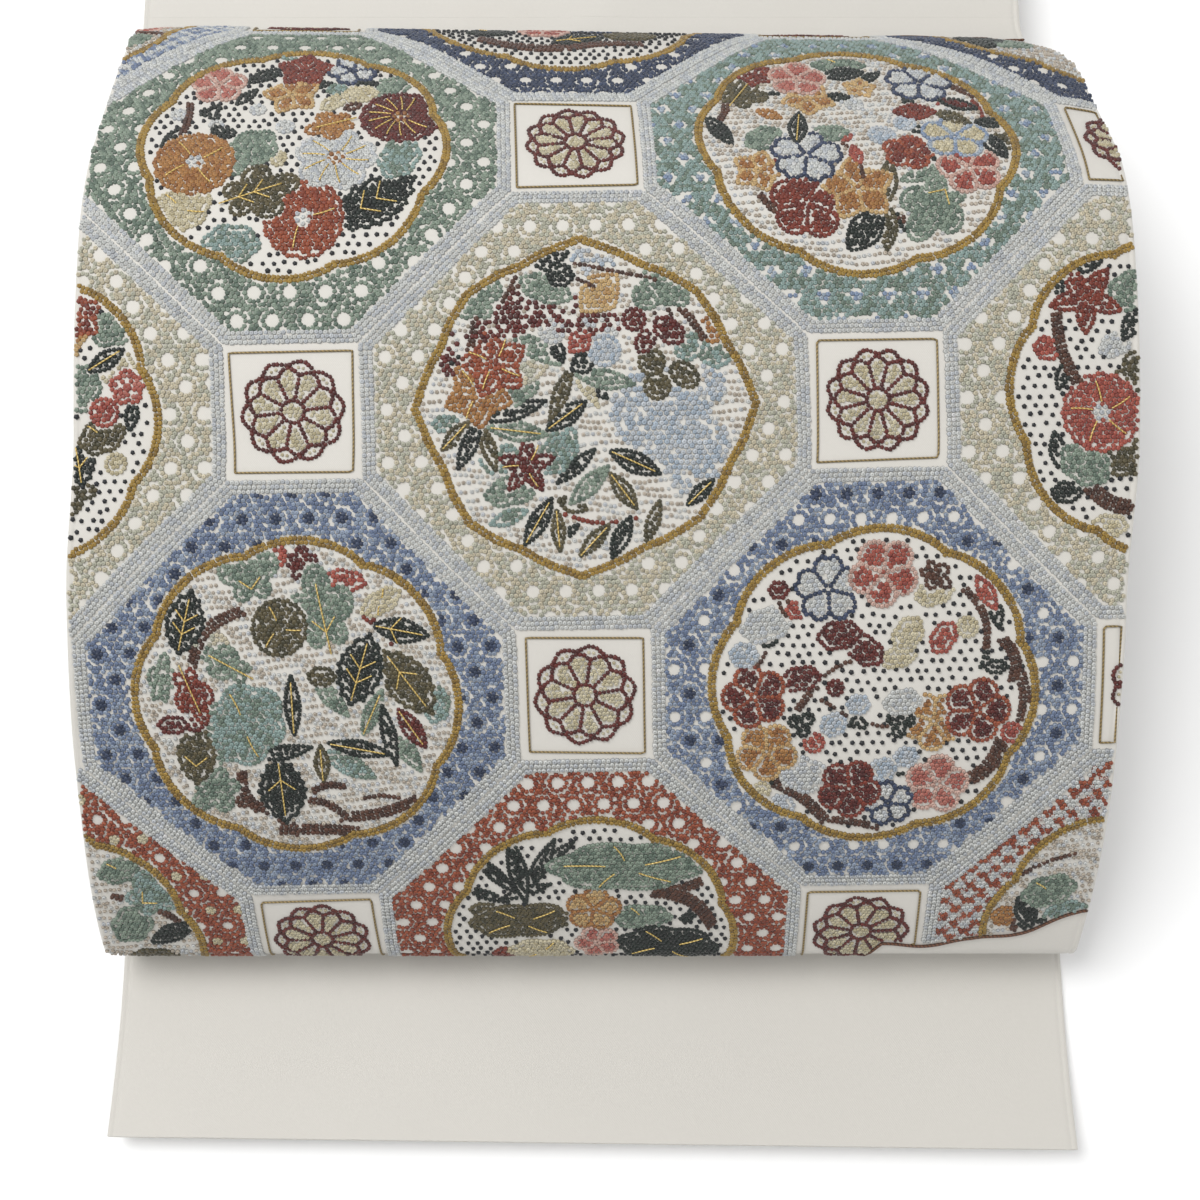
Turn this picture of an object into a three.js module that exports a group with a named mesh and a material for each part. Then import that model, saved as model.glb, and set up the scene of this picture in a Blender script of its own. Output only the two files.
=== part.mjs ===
// An embroidered obi sash arranged in a drum fold and laid on a table.
//
// The sash is one band of double cloth: a face cloth and a backing sewn along
// both edges. Followed from its tail end the band lies on the table, turns back
// on itself, comes forward again, turns up in a soft fold and rises as the
// drum, a hollow loop open at both sides. Behind the drum it comes down onto the
// rest of the band, which is folded to and fro in a flat pile.
//
// Millimetres, +Z up. X runs across the band, Y runs from the tail end to the
// pile, and the origin is on the table under the middle of the whole sash.
import * as THREE from "three";

// ---- driving dimensions ----
const BAND_WIDTH = 310;
const PLY = 1.0;              // one cloth
const PLY_GAP = 0.3;          // between the face cloth and the backing
const SEAM_GAP = 0.3;         // between two stretches of the band
const TAIL_DIP = 16;          // degrees, how steeply the tail's tip slopes down to the table
const INNER_FOLD_GAP = 0.6;   // between the right sides that meet under the drum
const PILE_LENGTH = 350;
const PILE_LAYERS = 9;        // folded layers under the top run
const PILE_CLEARANCE = 0.4;   // between the pile and the run on it
const RETURN_LENGTH = 14;     // how far the top run turns back under itself

const WALL = 2 * PLY + PLY_GAP;
const END_FOLD_RADIUS = WALL + PLY_GAP;

// ---- the band's course, seen from its side ----
// Each row is a stretch of one curvature: its length, how far it turns (degrees,
// upwards and back is positive), and the steps it is built in.
const COURSE = [
  { piece: "tail", length: 58, turn: TAIL_DIP, steps: 8 },
  { piece: "under_run", length: 212, turn: 0, steps: 3 },
  { piece: "turn_under", length: (Math.PI * INNER_FOLD_GAP) / 2, turn: 180, steps: 8 },
  { piece: "turn_under", length: 152, turn: 0, steps: 2 },
  { piece: "turn_under", length: 22, turn: -10, steps: 3 },
  { piece: "turn_under", length: 30, turn: 0, steps: 1 },
  { piece: "drum_front", length: 17, turn: -122, steps: 10 },   // bottom fold
  { piece: "drum_front", length: 36, turn: -12, steps: 3 },
  { piece: "drum_front", length: 40, turn: -11, steps: 3 },
  { piece: "drum_front", length: 40, turn: -10, steps: 3 },
  { piece: "drum_front", length: 64, turn: -4, steps: 4 },
  { piece: "drum_front", length: 46, turn: -11, steps: 4 },
  { piece: "drum_rear", length: 34, turn: -25, steps: 4 },      // crest
  { piece: "drum_rear", length: 41, turn: -4, steps: 2 },
  { piece: "drum_rear", length: 30, turn: -25, steps: 4 },
  { piece: "drum_rear", length: 16, turn: -22, steps: 3 },
  { piece: "drum_rear", length: 22, turn: 76, steps: 6 },       // foot on the pile
  { piece: "band_run", length: PILE_LENGTH, turn: 0, steps: 4 },
  { piece: "band_run", length: Math.PI * END_FOLD_RADIUS, turn: -180, steps: 10 },
  { piece: "band_run", length: RETURN_LENGTH, turn: 0, steps: 1 },
];

// ---- how the arranging moved the band: sideways, askew, and down at its edges ----
// at: millimetres along the band. shift: to +X. skew: how much further back the
// left edge lies than the right one. left, right: how far each edge hangs.
const ARRANGING = [
  { at: 0, shift: -2.5, skew: 4, left: 0, right: 0 },
  { at: 60, shift: -2.5, skew: 0, left: 0, right: 0 },
  { at: 485, shift: -3, skew: 0, left: 0, right: 0 },
  { at: 560, shift: -1.5, skew: 0, left: 0.5, right: 0.5 },
  { at: 610, shift: -1, skew: 0, left: 0.5, right: 0.5 },
  { at: 660, shift: 2, skew: 0, left: 0.5, right: 0.5 },
  { at: 740, shift: 2, skew: 1, left: 1, right: 2 },
  { at: 795, shift: 1.5, skew: 5, left: 3, right: 7 },
  { at: 825, shift: -1, skew: 5, left: 3, right: 7 },
  { at: 860, shift: -6.5, skew: 0, left: 0, right: 0 },
  { at: 1300, shift: -6.5, skew: 0, left: 0, right: 0 },
];
// Places across the band, as shares of its half width: closer where the edges hang.
const ACROSS = [-1, -0.94, -0.85, -0.5, 0, 0.5, 0.85, 0.94, 1];
const DROOP_STARTS = 0.82;    // share of the half width

const FACE_COLOUR = 0xe8e2d6;
const BACKING_COLOUR = 0xdfd8ca;
const PILE_COLOUR = 0xe3dccf;

// A row for each stretch, with where it starts and its curvature.
function layCourse() {
  let at = 0;
  let y = 0;
  let z = 0;
  let heading = THREE.MathUtils.degToRad(-TAIL_DIP);
  const stretches = [];
  for (const row of COURSE) {
    const turn = THREE.MathUtils.degToRad(row.turn);
    const stretch = { ...row, at, y, z, heading, curvature: turn / row.length };
    stretches.push(stretch);
    const end = pointAlong(stretch, row.length);
    at += row.length;
    y = end.y;
    z = end.z;
    heading += turn;
  }
  return stretches;
}

// The point and heading that lie a given distance along one stretch.
function pointAlong(stretch, distance) {
  const heading = stretch.heading + stretch.curvature * distance;
  if (stretch.curvature === 0) {
    return {
      y: stretch.y + distance * Math.cos(heading),
      z: stretch.z + distance * Math.sin(heading),
      heading,
    };
  }
  return {
    y: stretch.y + (Math.sin(heading) - Math.sin(stretch.heading)) / stretch.curvature,
    z: stretch.z - (Math.cos(heading) - Math.cos(stretch.heading)) / stretch.curvature,
    heading,
  };
}

const stretches = layCourse();
// The under run's right side lies one wall above the table.
const liftToTable = WALL - stretches.find((stretch) => stretch.piece === "under_run").z;

// The stations of one piece, its two ends drawn in by half a seam gap.
function stationsOf(piece) {
  const rows = stretches.filter((stretch) => stretch.piece === piece);
  const stations = [];
  for (const [index, row] of rows.entries()) {
    const last = index === rows.length - 1;
    for (let step = index === 0 ? 0 : 1; step <= row.steps; step += 1) {
      let distance = (row.length * step) / row.steps;
      if (index === 0 && step === 0) distance = SEAM_GAP / 2;
      if (last && step === row.steps) distance -= SEAM_GAP / 2;
      const point = pointAlong(row, distance);
      stations.push({ at: row.at + distance, ...point, z: point.z + liftToTable });
    }
  }
  return stations;
}

// The arranging at one place along the band, eased from row to row.
function arrangingAt(at) {
  const next = ARRANGING.findIndex((row) => row.at > at);
  const after = ARRANGING[next];
  const before = ARRANGING[next - 1];
  const share = THREE.MathUtils.smoothstep(at, before.at, after.at);
  const ease = (name) => THREE.MathUtils.lerp(before[name], after[name], share);
  return { shift: ease("shift"), skew: ease("skew"), left: ease("left"), right: ease("right") };
}

// A point of the band: a station, a place across from -1 to 1, a depth under the right side.
function bandPoint(station, across, depth) {
  const { shift, skew, left, right } = arrangingAt(station.at);
  const droop = across < 0 ? left : right;
  const edge = Math.max(0, (Math.abs(across) - DROOP_STARTS) / (1 - DROOP_STARTS));
  return new THREE.Vector3(
    (across * BAND_WIDTH) / 2 + shift,
    station.y + depth * Math.sin(station.heading) - (across * skew) / 2,
    station.z - depth * Math.cos(station.heading) - droop * edge * edge,
  );
}

// A closed wall between two depths of the band.
function wallGeometry(stations, nearDepth, farDepth) {
  const lastColumn = ACROSS.length - 1;
  const positions = [];
  for (const depth of [nearDepth, farDepth]) {
    for (const station of stations) {
      for (const across of ACROSS) positions.push(...bandPoint(station, across, depth).toArray());
    }
  }
  const layer = stations.length * ACROSS.length;
  const near = (row, column) => row * ACROSS.length + column;
  const far = (row, column) => layer + near(row, column);
  const index = [];
  const quad = (a, b, c, d) => index.push(a, b, c, a, c, d);
  const lastRow = stations.length - 1;
  for (let row = 0; row < lastRow; row += 1) {
    for (let column = 0; column < lastColumn; column += 1) {
      quad(near(row, column), near(row, column + 1), near(row + 1, column + 1), near(row + 1, column));
      quad(far(row, column), far(row + 1, column), far(row + 1, column + 1), far(row, column + 1));
    }
    quad(near(row, 0), near(row + 1, 0), far(row + 1, 0), far(row, 0));
    quad(
      near(row, lastColumn), far(row, lastColumn),
      far(row + 1, lastColumn), near(row + 1, lastColumn),
    );
  }
  for (let column = 0; column < lastColumn; column += 1) {
    quad(near(0, column), far(0, column), far(0, column + 1), near(0, column + 1));
    quad(
      near(lastRow, column), near(lastRow, column + 1),
      far(lastRow, column + 1), far(lastRow, column),
    );
  }
  return closedGeometry(positions, index);
}

function closedGeometry(positions, index) {
  const geometry = new THREE.BufferGeometry();
  geometry.setAttribute("position", new THREE.Float32BufferAttribute(positions, 3));
  geometry.setIndex(index);
  geometry.computeVertexNormals();
  return geometry;
}

// ---- the pile of folded layers, one rounded solid with a groove between layers ----
const PILE_INSET = 0.9;       // how deep the grooves are
const PILE_CORNER = 3;
const CORNER_STEPS = 3;
const PILE_START = 3;         // how far behind the drum's foot the pile begins
// Each row is a layer from the table up: how far its edges stand out from the neat pile.
const LAYERS = [
  { near: 0, far: 1.5, left: 0.5, right: -0.5 },
  { near: 1, far: 0, left: -1, right: 1 },
  { near: -1, far: 1, left: 1, right: 0 },
  { near: 1.5, far: 2, left: 0, right: -1 },
  { near: 0, far: -1, left: -0.5, right: 1.5 },
  { near: 1, far: 1, left: 1.5, right: 0 },
  { near: -0.5, far: 0, left: 0, right: 0.5 },
  { near: 0.5, far: 1.5, left: 1, right: -0.5 },
  { near: 0, far: -RETURN_LENGTH - 2, left: 0, right: 0 },
];

// A rounded rectangle in the plane, as points that run anticlockwise.
function roundedOutline(low, high, corner) {
  const corners = [
    { x: high.x - corner, y: high.y - corner },
    { x: low.x + corner, y: high.y - corner },
    { x: low.x + corner, y: low.y + corner },
    { x: high.x - corner, y: low.y + corner },
  ];
  const points = [];
  for (const [quarter, centre] of corners.entries()) {
    for (let step = 0; step <= CORNER_STEPS; step += 1) {
      const angle = (Math.PI / 2) * (quarter + step / CORNER_STEPS);
      points.push([centre.x + corner * Math.cos(angle), centre.y + corner * Math.sin(angle)]);
    }
  }
  return points;
}

function pileGeometry() {
  const run = stationsOf("band_run")[0];
  const { shift } = arrangingAt(run.at);
  const height = run.z - WALL - PILE_CLEARANCE;
  const layerHeight = height / PILE_LAYERS;
  const start = run.y + PILE_START;
  const end = run.y + PILE_LENGTH;
  const outline = (layer, inset) => roundedOutline(
    { x: shift - BAND_WIDTH / 2 - layer.left + inset, y: start - layer.near + inset },
    { x: shift + BAND_WIDTH / 2 + layer.right - inset, y: end + layer.far - inset },
    PILE_CORNER,
  );
  const rings = [];
  for (const [level, layer] of LAYERS.entries()) {
    const groove = outline(layer, PILE_INSET);
    rings.push(groove.map(([x, y]) => [x, y, level * layerHeight]));
    rings.push(outline(layer, 0).map(([x, y]) => [x, y, (level + 0.5) * layerHeight]));
  }
  const top = outline(LAYERS[PILE_LAYERS - 1], PILE_INSET);
  rings.push(top.map(([x, y]) => [x, y, height]));
  return closedRings(rings);
}

// A solid through rings of equal count, stacked upwards, closed by flat ends.
function closedRings(rings) {
  const count = rings[0].length;
  const index = [];
  for (let ring = 0; ring < rings.length - 1; ring += 1) {
    for (let point = 0; point < count; point += 1) {
      const next = (point + 1) % count;
      const low = ring * count;
      const high = low + count;
      index.push(low + point, low + next, high + next);
      index.push(low + point, high + next, high + point);
    }
  }
  const last = (rings.length - 1) * count;
  for (let point = 1; point < count - 1; point += 1) {
    index.push(0, point + 1, point);
    index.push(last, last + point, last + point + 1);
  }
  return closedGeometry(rings.flat(2), index);
}

// ---- the whole sash ----
function clothMesh(name, geometry, color) {
  const material = new THREE.MeshStandardMaterial({ color, roughness: 0.75, metalness: 0 });
  const mesh = new THREE.Mesh(geometry, material);
  mesh.name = name;
  return mesh;
}

const sash = new THREE.Group();
for (const piece of new Set(COURSE.map((row) => row.piece))) {
  const stations = stationsOf(piece);
  sash.add(clothMesh(`${piece}_cloth`, wallGeometry(stations, 0, PLY), FACE_COLOUR));
  sash.add(clothMesh(`${piece}_backing`, wallGeometry(stations, PLY + PLY_GAP, WALL), BACKING_COLOUR));
}
sash.add(clothMesh("folded_layers", pileGeometry(), PILE_COLOUR));

const extent = new THREE.Box3().setFromObject(sash);
const middle = extent.getCenter(new THREE.Vector3());
sash.position.set(-middle.x, -middle.y, -extent.min.z);
sash.updateMatrixWorld(true);

export default sash;
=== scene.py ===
"""An embroidered obi sash in a drum fold: its cloth, knotted embroidery and couched threads."""

import logging
import math
from dataclasses import dataclass, field
from enum import Enum
from typing import Any, Callable, Iterable, Sequence

import bpy
import numpy as np
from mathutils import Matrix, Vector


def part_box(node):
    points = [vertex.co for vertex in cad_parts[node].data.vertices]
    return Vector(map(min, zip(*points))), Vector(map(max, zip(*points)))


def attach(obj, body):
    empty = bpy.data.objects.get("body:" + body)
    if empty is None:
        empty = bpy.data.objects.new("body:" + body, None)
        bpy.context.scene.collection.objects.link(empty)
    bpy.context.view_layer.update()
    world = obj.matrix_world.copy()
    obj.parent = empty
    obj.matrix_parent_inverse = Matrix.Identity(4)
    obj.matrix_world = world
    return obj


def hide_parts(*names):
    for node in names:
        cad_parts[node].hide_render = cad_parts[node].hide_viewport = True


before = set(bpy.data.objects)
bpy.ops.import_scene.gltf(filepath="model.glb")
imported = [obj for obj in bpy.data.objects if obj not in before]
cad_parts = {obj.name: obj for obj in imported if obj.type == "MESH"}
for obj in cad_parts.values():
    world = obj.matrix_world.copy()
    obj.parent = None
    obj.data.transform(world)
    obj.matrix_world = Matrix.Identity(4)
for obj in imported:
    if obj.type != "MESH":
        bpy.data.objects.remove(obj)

LOG = logging.getLogger("sash")
MM = 0.001
BAND_WIDTH = 310.0            # mm, across the band
PLY = 1.0                     # mm, one cloth
PLY_GAP = 0.3                 # mm, between the face cloth and the backing
WALL = 2 * PLY + PLY_GAP
END_FOLD_RADIUS = WALL + PLY_GAP
PILE_LENGTH = 350.0
SEAM = 0.01                   # mm, from a piece's end to the seam
SEED = 1187

Array = np.ndarray
Test = Callable[[Array], Array]              # which points pass
Ring = Callable[[Array, float], Array]       # which points lie in the medallion, grown
Work = Callable[..., None]                   # works knots of one thread at points


# ---------------------------------------------------------------- the band's course


@dataclass(frozen=True)
class Stretch:
    """One stretch of the band, of one curvature: length in mm and turn in degrees."""

    piece: str
    length: float
    turn: float


@dataclass(frozen=True)
class Crease:
    """A soft ridge or trough pressed into the cloth.

    at, across: its middle along and across the band. run: half its length. width: its
    softness. rise: its height, negative for a trough. turn: degrees from straight across.
    """

    at: float
    across: float
    run: float
    width: float
    rise: float
    turn: float = 0.0


COURSE = (
    Stretch("tail", 58, 16),
    Stretch("under_run", 212, 0),
    Stretch("turn_under", 0.3 * math.pi, 180),
    Stretch("turn_under", 152, 0),
    Stretch("turn_under", 22, -10),
    Stretch("turn_under", 30, 0),
    Stretch("drum_front", 17, -122),
    Stretch("drum_front", 36, -12),
    Stretch("drum_front", 40, -11),
    Stretch("drum_front", 40, -10),
    Stretch("drum_front", 64, -4),
    Stretch("drum_front", 46, -11),
    Stretch("drum_rear", 34, -25),
    Stretch("drum_rear", 41, -4),
    Stretch("drum_rear", 30, -25),
    Stretch("drum_rear", 16, -22),
    Stretch("drum_rear", 22, 76),
    Stretch("band_run", PILE_LENGTH, 0),
    Stretch("band_run", math.pi * END_FOLD_RADIUS, -180),
    Stretch("band_run", 14, 0),
)

# How the arranging moved the band. Columns: at, shift to +X, skew (how much further back
# the left edge lies than the right one), and how far the left and the right edge hang.
ARRANGING = np.array([
    (0, -2.5, 4, 0, 0),
    (60, -2.5, 0, 0, 0),
    (485, -3, 0, 0, 0),
    (560, -1.5, 0, 0.5, 0.5),
    (610, -1, 0, 0.5, 0.5),
    (660, 2, 0, 0.5, 0.5),
    (740, 2, 1, 1, 2),
    (795, 1.5, 5, 3, 7),
    (825, -1, 5, 3, 7),
    (860, -6.5, 0, 0, 0),
    (1300, -6.5, 0, 0, 0),
])
DROOP_STARTS = 0.82

CREASES = (
    Crease(14, -70, 60, 9, 0.5, 6),
    Crease(30, 60, 75, 11, -0.5, -5),
    Crease(44, -20, 90, 8, 0.35, 2),
    Crease(540, -60, 70, 14, 0.5, 8),
    Crease(600, 90, 55, 16, -0.6, -12),
    Crease(640, -110, 45, 15, 0.6, 20),
    Crease(700, 30, 90, 18, -0.5, 4),
    Crease(772, -60, 70, 12, 0.5, -6),
    Crease(884, 20, 60, 7, 0.7, 58),
    Crease(960, -60, 80, 12, 0.6, 30),
    Crease(1070, 50, 110, 14, -0.6, -18),
    Crease(1150, -40, 90, 10, 0.5, 12),
)


class Course:
    """The band's course: where each place along and across it lies."""

    def __init__(self, stretches: Sequence[Stretch] = COURSE) -> None:
        """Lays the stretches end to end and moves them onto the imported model."""
        self.names = [s.piece for s in stretches]
        lengths = np.array([s.length for s in stretches])
        turns = np.radians([s.turn for s in stretches])
        self.starts = np.concatenate([[0.0], np.cumsum(lengths)[:-1]])
        self.ends = self.starts + lengths
        self.curvature = turns / lengths
        self.heading = math.radians(-stretches[0].turn) + np.concatenate([[0.0], np.cumsum(turns)[:-1]])
        self.y = np.zeros(len(lengths))
        self.z = np.zeros(len(lengths))
        for i in range(1, len(lengths)):
            y, z, _ = self._within(np.array([i - 1]), lengths[i - 1 : i])
            self.y[i], self.z[i] = y[0], z[0]
        low = np.array(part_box("under_run_cloth")[0]) / MM
        seam = self.starts[1] + PLY_GAP / 2
        y, z, _ = self.line(np.array([seam]))
        self.offset = np.array([
            low[0] + BAND_WIDTH / 2 + 2.5,
            low[1] - y[0],
            low[2] + PLY - z[0],
        ])

    def _within(self, i: Array, distance: Array) -> tuple[Array, Array, Array]:
        """The arc formula: a point turns round its stretch's centre as it moves along it."""
        turning = self.curvature[i]
        heading = self.heading[i] + turning * distance
        straight = np.abs(turning) < 1e-9
        safe = np.where(straight, 1.0, turning)
        y = np.where(
            straight,
            distance * np.cos(self.heading[i]),
            (np.sin(heading) - np.sin(self.heading[i])) / safe,
        )
        z = np.where(
            straight,
            distance * np.sin(self.heading[i]),
            (np.cos(self.heading[i]) - np.cos(heading)) / safe,
        )
        return self.y[i] + y, self.z[i] + z, heading

    def line(self, at: Array) -> tuple[Array, Array, Array]:
        """Height, depth and heading of the right side's middle line.

        Args:
            at: places along the band, in mm.

        Returns:
            y, z and heading, before the offset.
        """
        i = np.clip(np.searchsorted(self.starts, at, side="right") - 1, 0, len(self.starts) - 1)
        return self._within(i, at - self.starts[i])

    @staticmethod
    def arranging(at: Array) -> Array:
        """The arranging's four columns at each place, eased from row to row."""
        rows = ARRANGING
        i = np.clip(np.searchsorted(rows[:, 0], at, side="right") - 1, 0, len(rows) - 2)
        share = np.clip((at - rows[i, 0]) / (rows[i + 1, 0] - rows[i, 0]), 0, 1)
        share = (share * share * (3 - 2 * share))[..., None]
        return rows[i, 1:] * (1 - share) + rows[i + 1, 1:] * share

    @staticmethod
    def relief(across: Array, at: Array) -> Array:
        """The creases and the stitched edges: each a bell across its run, ended softly."""
        rise = np.zeros(np.broadcast(across, at).shape)
        for crease in CREASES:
            turn = math.radians(crease.turn)
            dx, ds = across - crease.across, at - crease.at
            along = dx * math.cos(turn) + ds * math.sin(turn)
            off = ds * math.cos(turn) - dx * math.sin(turn)
            rise += crease.rise * np.exp(-((off / crease.width) ** 2) - (along / crease.run) ** 4)
        groove = np.exp(-(((np.abs(across) - BAND_WIDTH / 2 + 1.9) / 0.5) ** 2))
        return rise - 0.25 * groove

    def place(self, across: Array, at: Array, lift: Array | float = 0.0) -> Array:
        """Where places on the band lie.

        Args:
            across: mm from the middle line, to +X.
            at: mm along the band from its tail end.
            lift: mm above the right side, negative into the wall.

        Returns:
            Points in metres, one row each.
        """
        y, z, heading = self.line(at)
        shift, skew, left, right = np.moveaxis(self.arranging(at), -1, 0)
        share = across / (BAND_WIDTH / 2)
        edge = np.clip((np.abs(share) - DROOP_STARTS) / (1 - DROOP_STARTS), 0, None)
        droop = np.where(share < 0, left, right) * edge * edge
        rise = lift + self.relief(across, at)
        return MM * np.stack(np.broadcast_arrays(
            across + shift + self.offset[0],
            y - rise * np.sin(heading) - share * skew / 2 + self.offset[1],
            z + rise * np.cos(heading) - droop + self.offset[2],
        ), axis=-1)

    def axes(self, at: Array) -> tuple[Array, Array, Array]:
        """Unit vectors across, along and out of the band at each place."""
        heading = self.line(at)[2]
        nil, one = np.zeros_like(heading), np.ones_like(heading)
        sine, cosine = np.sin(heading), np.cos(heading)
        across = np.stack([one, nil, nil], -1)
        return across, np.stack([nil, cosine, sine], -1), np.stack([nil, -sine, cosine], -1)

    def span(self, piece: str) -> tuple[float, float]:
        """The places where a piece starts and ends, drawn in by a hair."""
        rows = [i for i, name in enumerate(self.names) if name == piece]
        return self.starts[rows[0]] + SEAM, self.ends[rows[-1]] - SEAM

    def stations(self, piece: str, pitch: float) -> Array:
        """Places along a piece, closer where it bends hard.

        Args:
            piece: the piece's name.
            pitch: mm between stations on a gentle stretch.

        Returns:
            Rising places from the piece's start to its end.
        """
        start, end = self.span(piece)
        places = [np.array([start])]
        for i, name in enumerate(self.names):
            if name != piece:
                continue
            bend = abs(self.curvature[i]) * (self.ends[i] - self.starts[i])
            steps = max(1, math.ceil((self.ends[i] - self.starts[i]) / pitch), math.ceil(bend / 0.2))
            places.append(np.linspace(self.starts[i], self.ends[i], steps + 1)[1:])
        found = np.concatenate(places)
        found[-1] = end
        return found


# ---------------------------------------------------------------- shader maths


class Wire:
    """A shader value. Arithmetic on it adds Math nodes."""

    def __init__(self, tree: bpy.types.NodeTree, socket: bpy.types.NodeSocket) -> None:
        """Wraps one output socket."""
        self.tree, self.socket = tree, socket

    def _math(self, operation: str, *values: "Wire | float") -> "Wire":
        """A Math node on these values."""
        node = self.tree.nodes.new("ShaderNodeMath")
        node.operation = operation
        for slot, value in zip(node.inputs, values):
            if isinstance(value, Wire):
                self.tree.links.new(value.socket, slot)
            else:
                slot.default_value = value
        return Wire(self.tree, node.outputs[0])

    def __add__(self, other: "Wire | float") -> "Wire":
        """Sum."""
        return self._math("ADD", self, other)

    __radd__ = __add__

    def __sub__(self, other: "Wire | float") -> "Wire":
        """Difference."""
        return self._math("SUBTRACT", self, other)

    def __rsub__(self, other: float) -> "Wire":
        """Difference the other way round."""
        return self._math("SUBTRACT", other, self)

    def __mul__(self, other: "Wire | float") -> "Wire":
        """Product."""
        return self._math("MULTIPLY", self, other)

    __rmul__ = __mul__

    def sine(self) -> "Wire":
        """Sine of the value."""
        return self._math("SINE", self)


class Dye:
    """A material being made: its node tree and the one way to add nodes to it."""

    def __init__(self, name: str) -> None:
        """Starts a material with only its output and one Principled shader."""
        self.material = bpy.data.materials.new(name)
        self.material.use_nodes = True
        self.tree = self.material.node_tree
        self.tree.nodes.clear()
        self.shader = self.node("ShaderNodeBsdfPrincipled")
        self.node("ShaderNodeOutputMaterial", sockets={"Surface": self.shader.outputs["BSDF"]})

    def node(
        self, kind: str, settings: dict[str, Any] | None = None,
        sockets: dict[str | int, Any] | None = None,
    ) -> bpy.types.Node:
        """Adds a node.

        Args:
            kind: the node's type.
            settings: its own settings, set first.
            sockets: a value, a socket or a Wire for each named or numbered input.

        Returns:
            The node.
        """
        made = self.tree.nodes.new(kind)
        for name, value in (settings or {}).items():
            setattr(made, name, value)
        for name, value in (sockets or {}).items():
            source = value.socket if isinstance(value, Wire) else value
            if isinstance(source, bpy.types.NodeSocket):
                self.tree.links.new(source, made.inputs[name])
            else:
                made.inputs[name].default_value = source
        return made

    def wire(self, socket: bpy.types.NodeSocket) -> Wire:
        """A socket as a value for arithmetic."""
        return Wire(self.tree, socket)

    def set(self, **sockets: Any) -> None:
        """Sets or links the shader's sockets, named with underscores for spaces."""
        for name, value in sockets.items():
            target = self.shader.inputs[name.replace("_", " ")]
            source = value.socket if isinstance(value, Wire) else value
            if isinstance(source, bpy.types.NodeSocket):
                self.tree.links.new(source, target)
            else:
                target.default_value = source

    def mix(self, share: Any, first: Any, second: Any, blend: str = "MIX") -> bpy.types.NodeSocket:
        """A colour mixed from two by share."""
        made = self.node(
            "ShaderNodeMix",
            {"data_type": "RGBA", "blend_type": blend},
            {0: share, 6: first, 7: second},
        )
        return made.outputs[2]

    def bump(self, height: Wire, distance: float, strength: float) -> bpy.types.NodeSocket:
        """A bumped normal from a height."""
        made = self.node(
            "ShaderNodeBump", sockets={"Height": height, "Distance": distance, "Strength": strength}
        )
        return made.outputs["Normal"]


def linear(colour: Sequence[float], share: float = 1.0) -> tuple[float, float, float, float]:
    """A display colour as light, times share, with full alpha."""
    made = [share * (c / 12.92 if c <= 0.04045 else ((c + 0.055) / 1.055) ** 2.4) for c in colour]
    return (*made, 1.0)


@dataclass(frozen=True)
class TwillFinish:
    """Silk twill: fine diagonal ribs with thin cross threads, and a soft sheen."""

    name: str
    colour: tuple[float, float, float]
    rib: float = 0.46             # mm between ribs
    depth: float = 0.07           # mm
    roughness: float = 0.55
    sheen: float = 0.35

    def material(self) -> bpy.types.Material:
        """The twill's material. It reads the cloth's own UV map, laid out in metres."""
        dye = Dye(self.name)
        uv = dye.node("ShaderNodeUVMap", {"uv_map": "cloth"}).outputs["UV"]
        split = dye.node("ShaderNodeSeparateXYZ", sockets={0: uv})
        across, along = dye.wire(split.outputs[0]), dye.wire(split.outputs[1])
        turn = 2 * math.pi / (self.rib * MM)
        ribs = ((across * 0.8 + along) * turn).sine()
        threads = ((along * 0.5 - across) * (turn * 1.7)).sine()
        height = ribs * 0.38 + threads * 0.12 + 0.5
        tone = dye.node("ShaderNodeTexNoise", sockets={"Vector": uv, "Scale": 14.0, "Detail": 3.0})
        slub = dye.node("ShaderNodeTexNoise", sockets={"Vector": uv, "Scale": 900.0, "Detail": 2.0})
        soft = dye.wire(tone.outputs[0]) * 0.6 + dye.wire(slub.outputs[0]) * 0.4
        base = dye.mix(soft, linear(self.colour, 0.9), linear(self.colour, 1.04))
        dye.set(
            # Painted shade: the colour darkens towards 0.62 of the cloth's colour in the troughs between
            # the ribs.
            Base_Color=dye.mix(height * 0.35 + 0.55, linear(self.colour, 0.62), base),
            Roughness=soft * 0.16 + (self.roughness - 0.08),
            Sheen_Weight=self.sheen,
            Sheen_Roughness=0.4,
            Normal=dye.bump(height, self.depth * MM, 0.8),
        )
        return dye.material


@dataclass(frozen=True)
class KnotFinish:
    """Knotted silk thread, its colour in the knots' own attribute, which also carries painted shade on
    each knot's rim and dimple.
    """

    name: str
    roughness: float = 0.5
    sheen: float = 0.25

    def material(self) -> bpy.types.Material:
        """The knots' material: the thread's colour with a fine twist in it."""
        dye = Dye(self.name)
        colour = dye.node("ShaderNodeAttribute", {"attribute_name": "thread"}).outputs["Color"]
        place = dye.node("ShaderNodeTexCoord").outputs["Object"]
        twist = dye.node("ShaderNodeTexNoise", sockets={"Vector": place, "Scale": 2600.0, "Detail": 1.0})
        grain = dye.wire(twist.outputs[0])
        dark = dye.mix(1.0, colour, (0.7, 0.68, 0.66, 1), "MULTIPLY")
        dye.set(
            Base_Color=dye.mix(grain * 0.9 + 0.2, dark, colour),
            Roughness=self.roughness,
            Sheen_Weight=self.sheen,
            Normal=dye.bump(grain, 0.12 * MM, 0.6),
        )
        return dye.material


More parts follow.
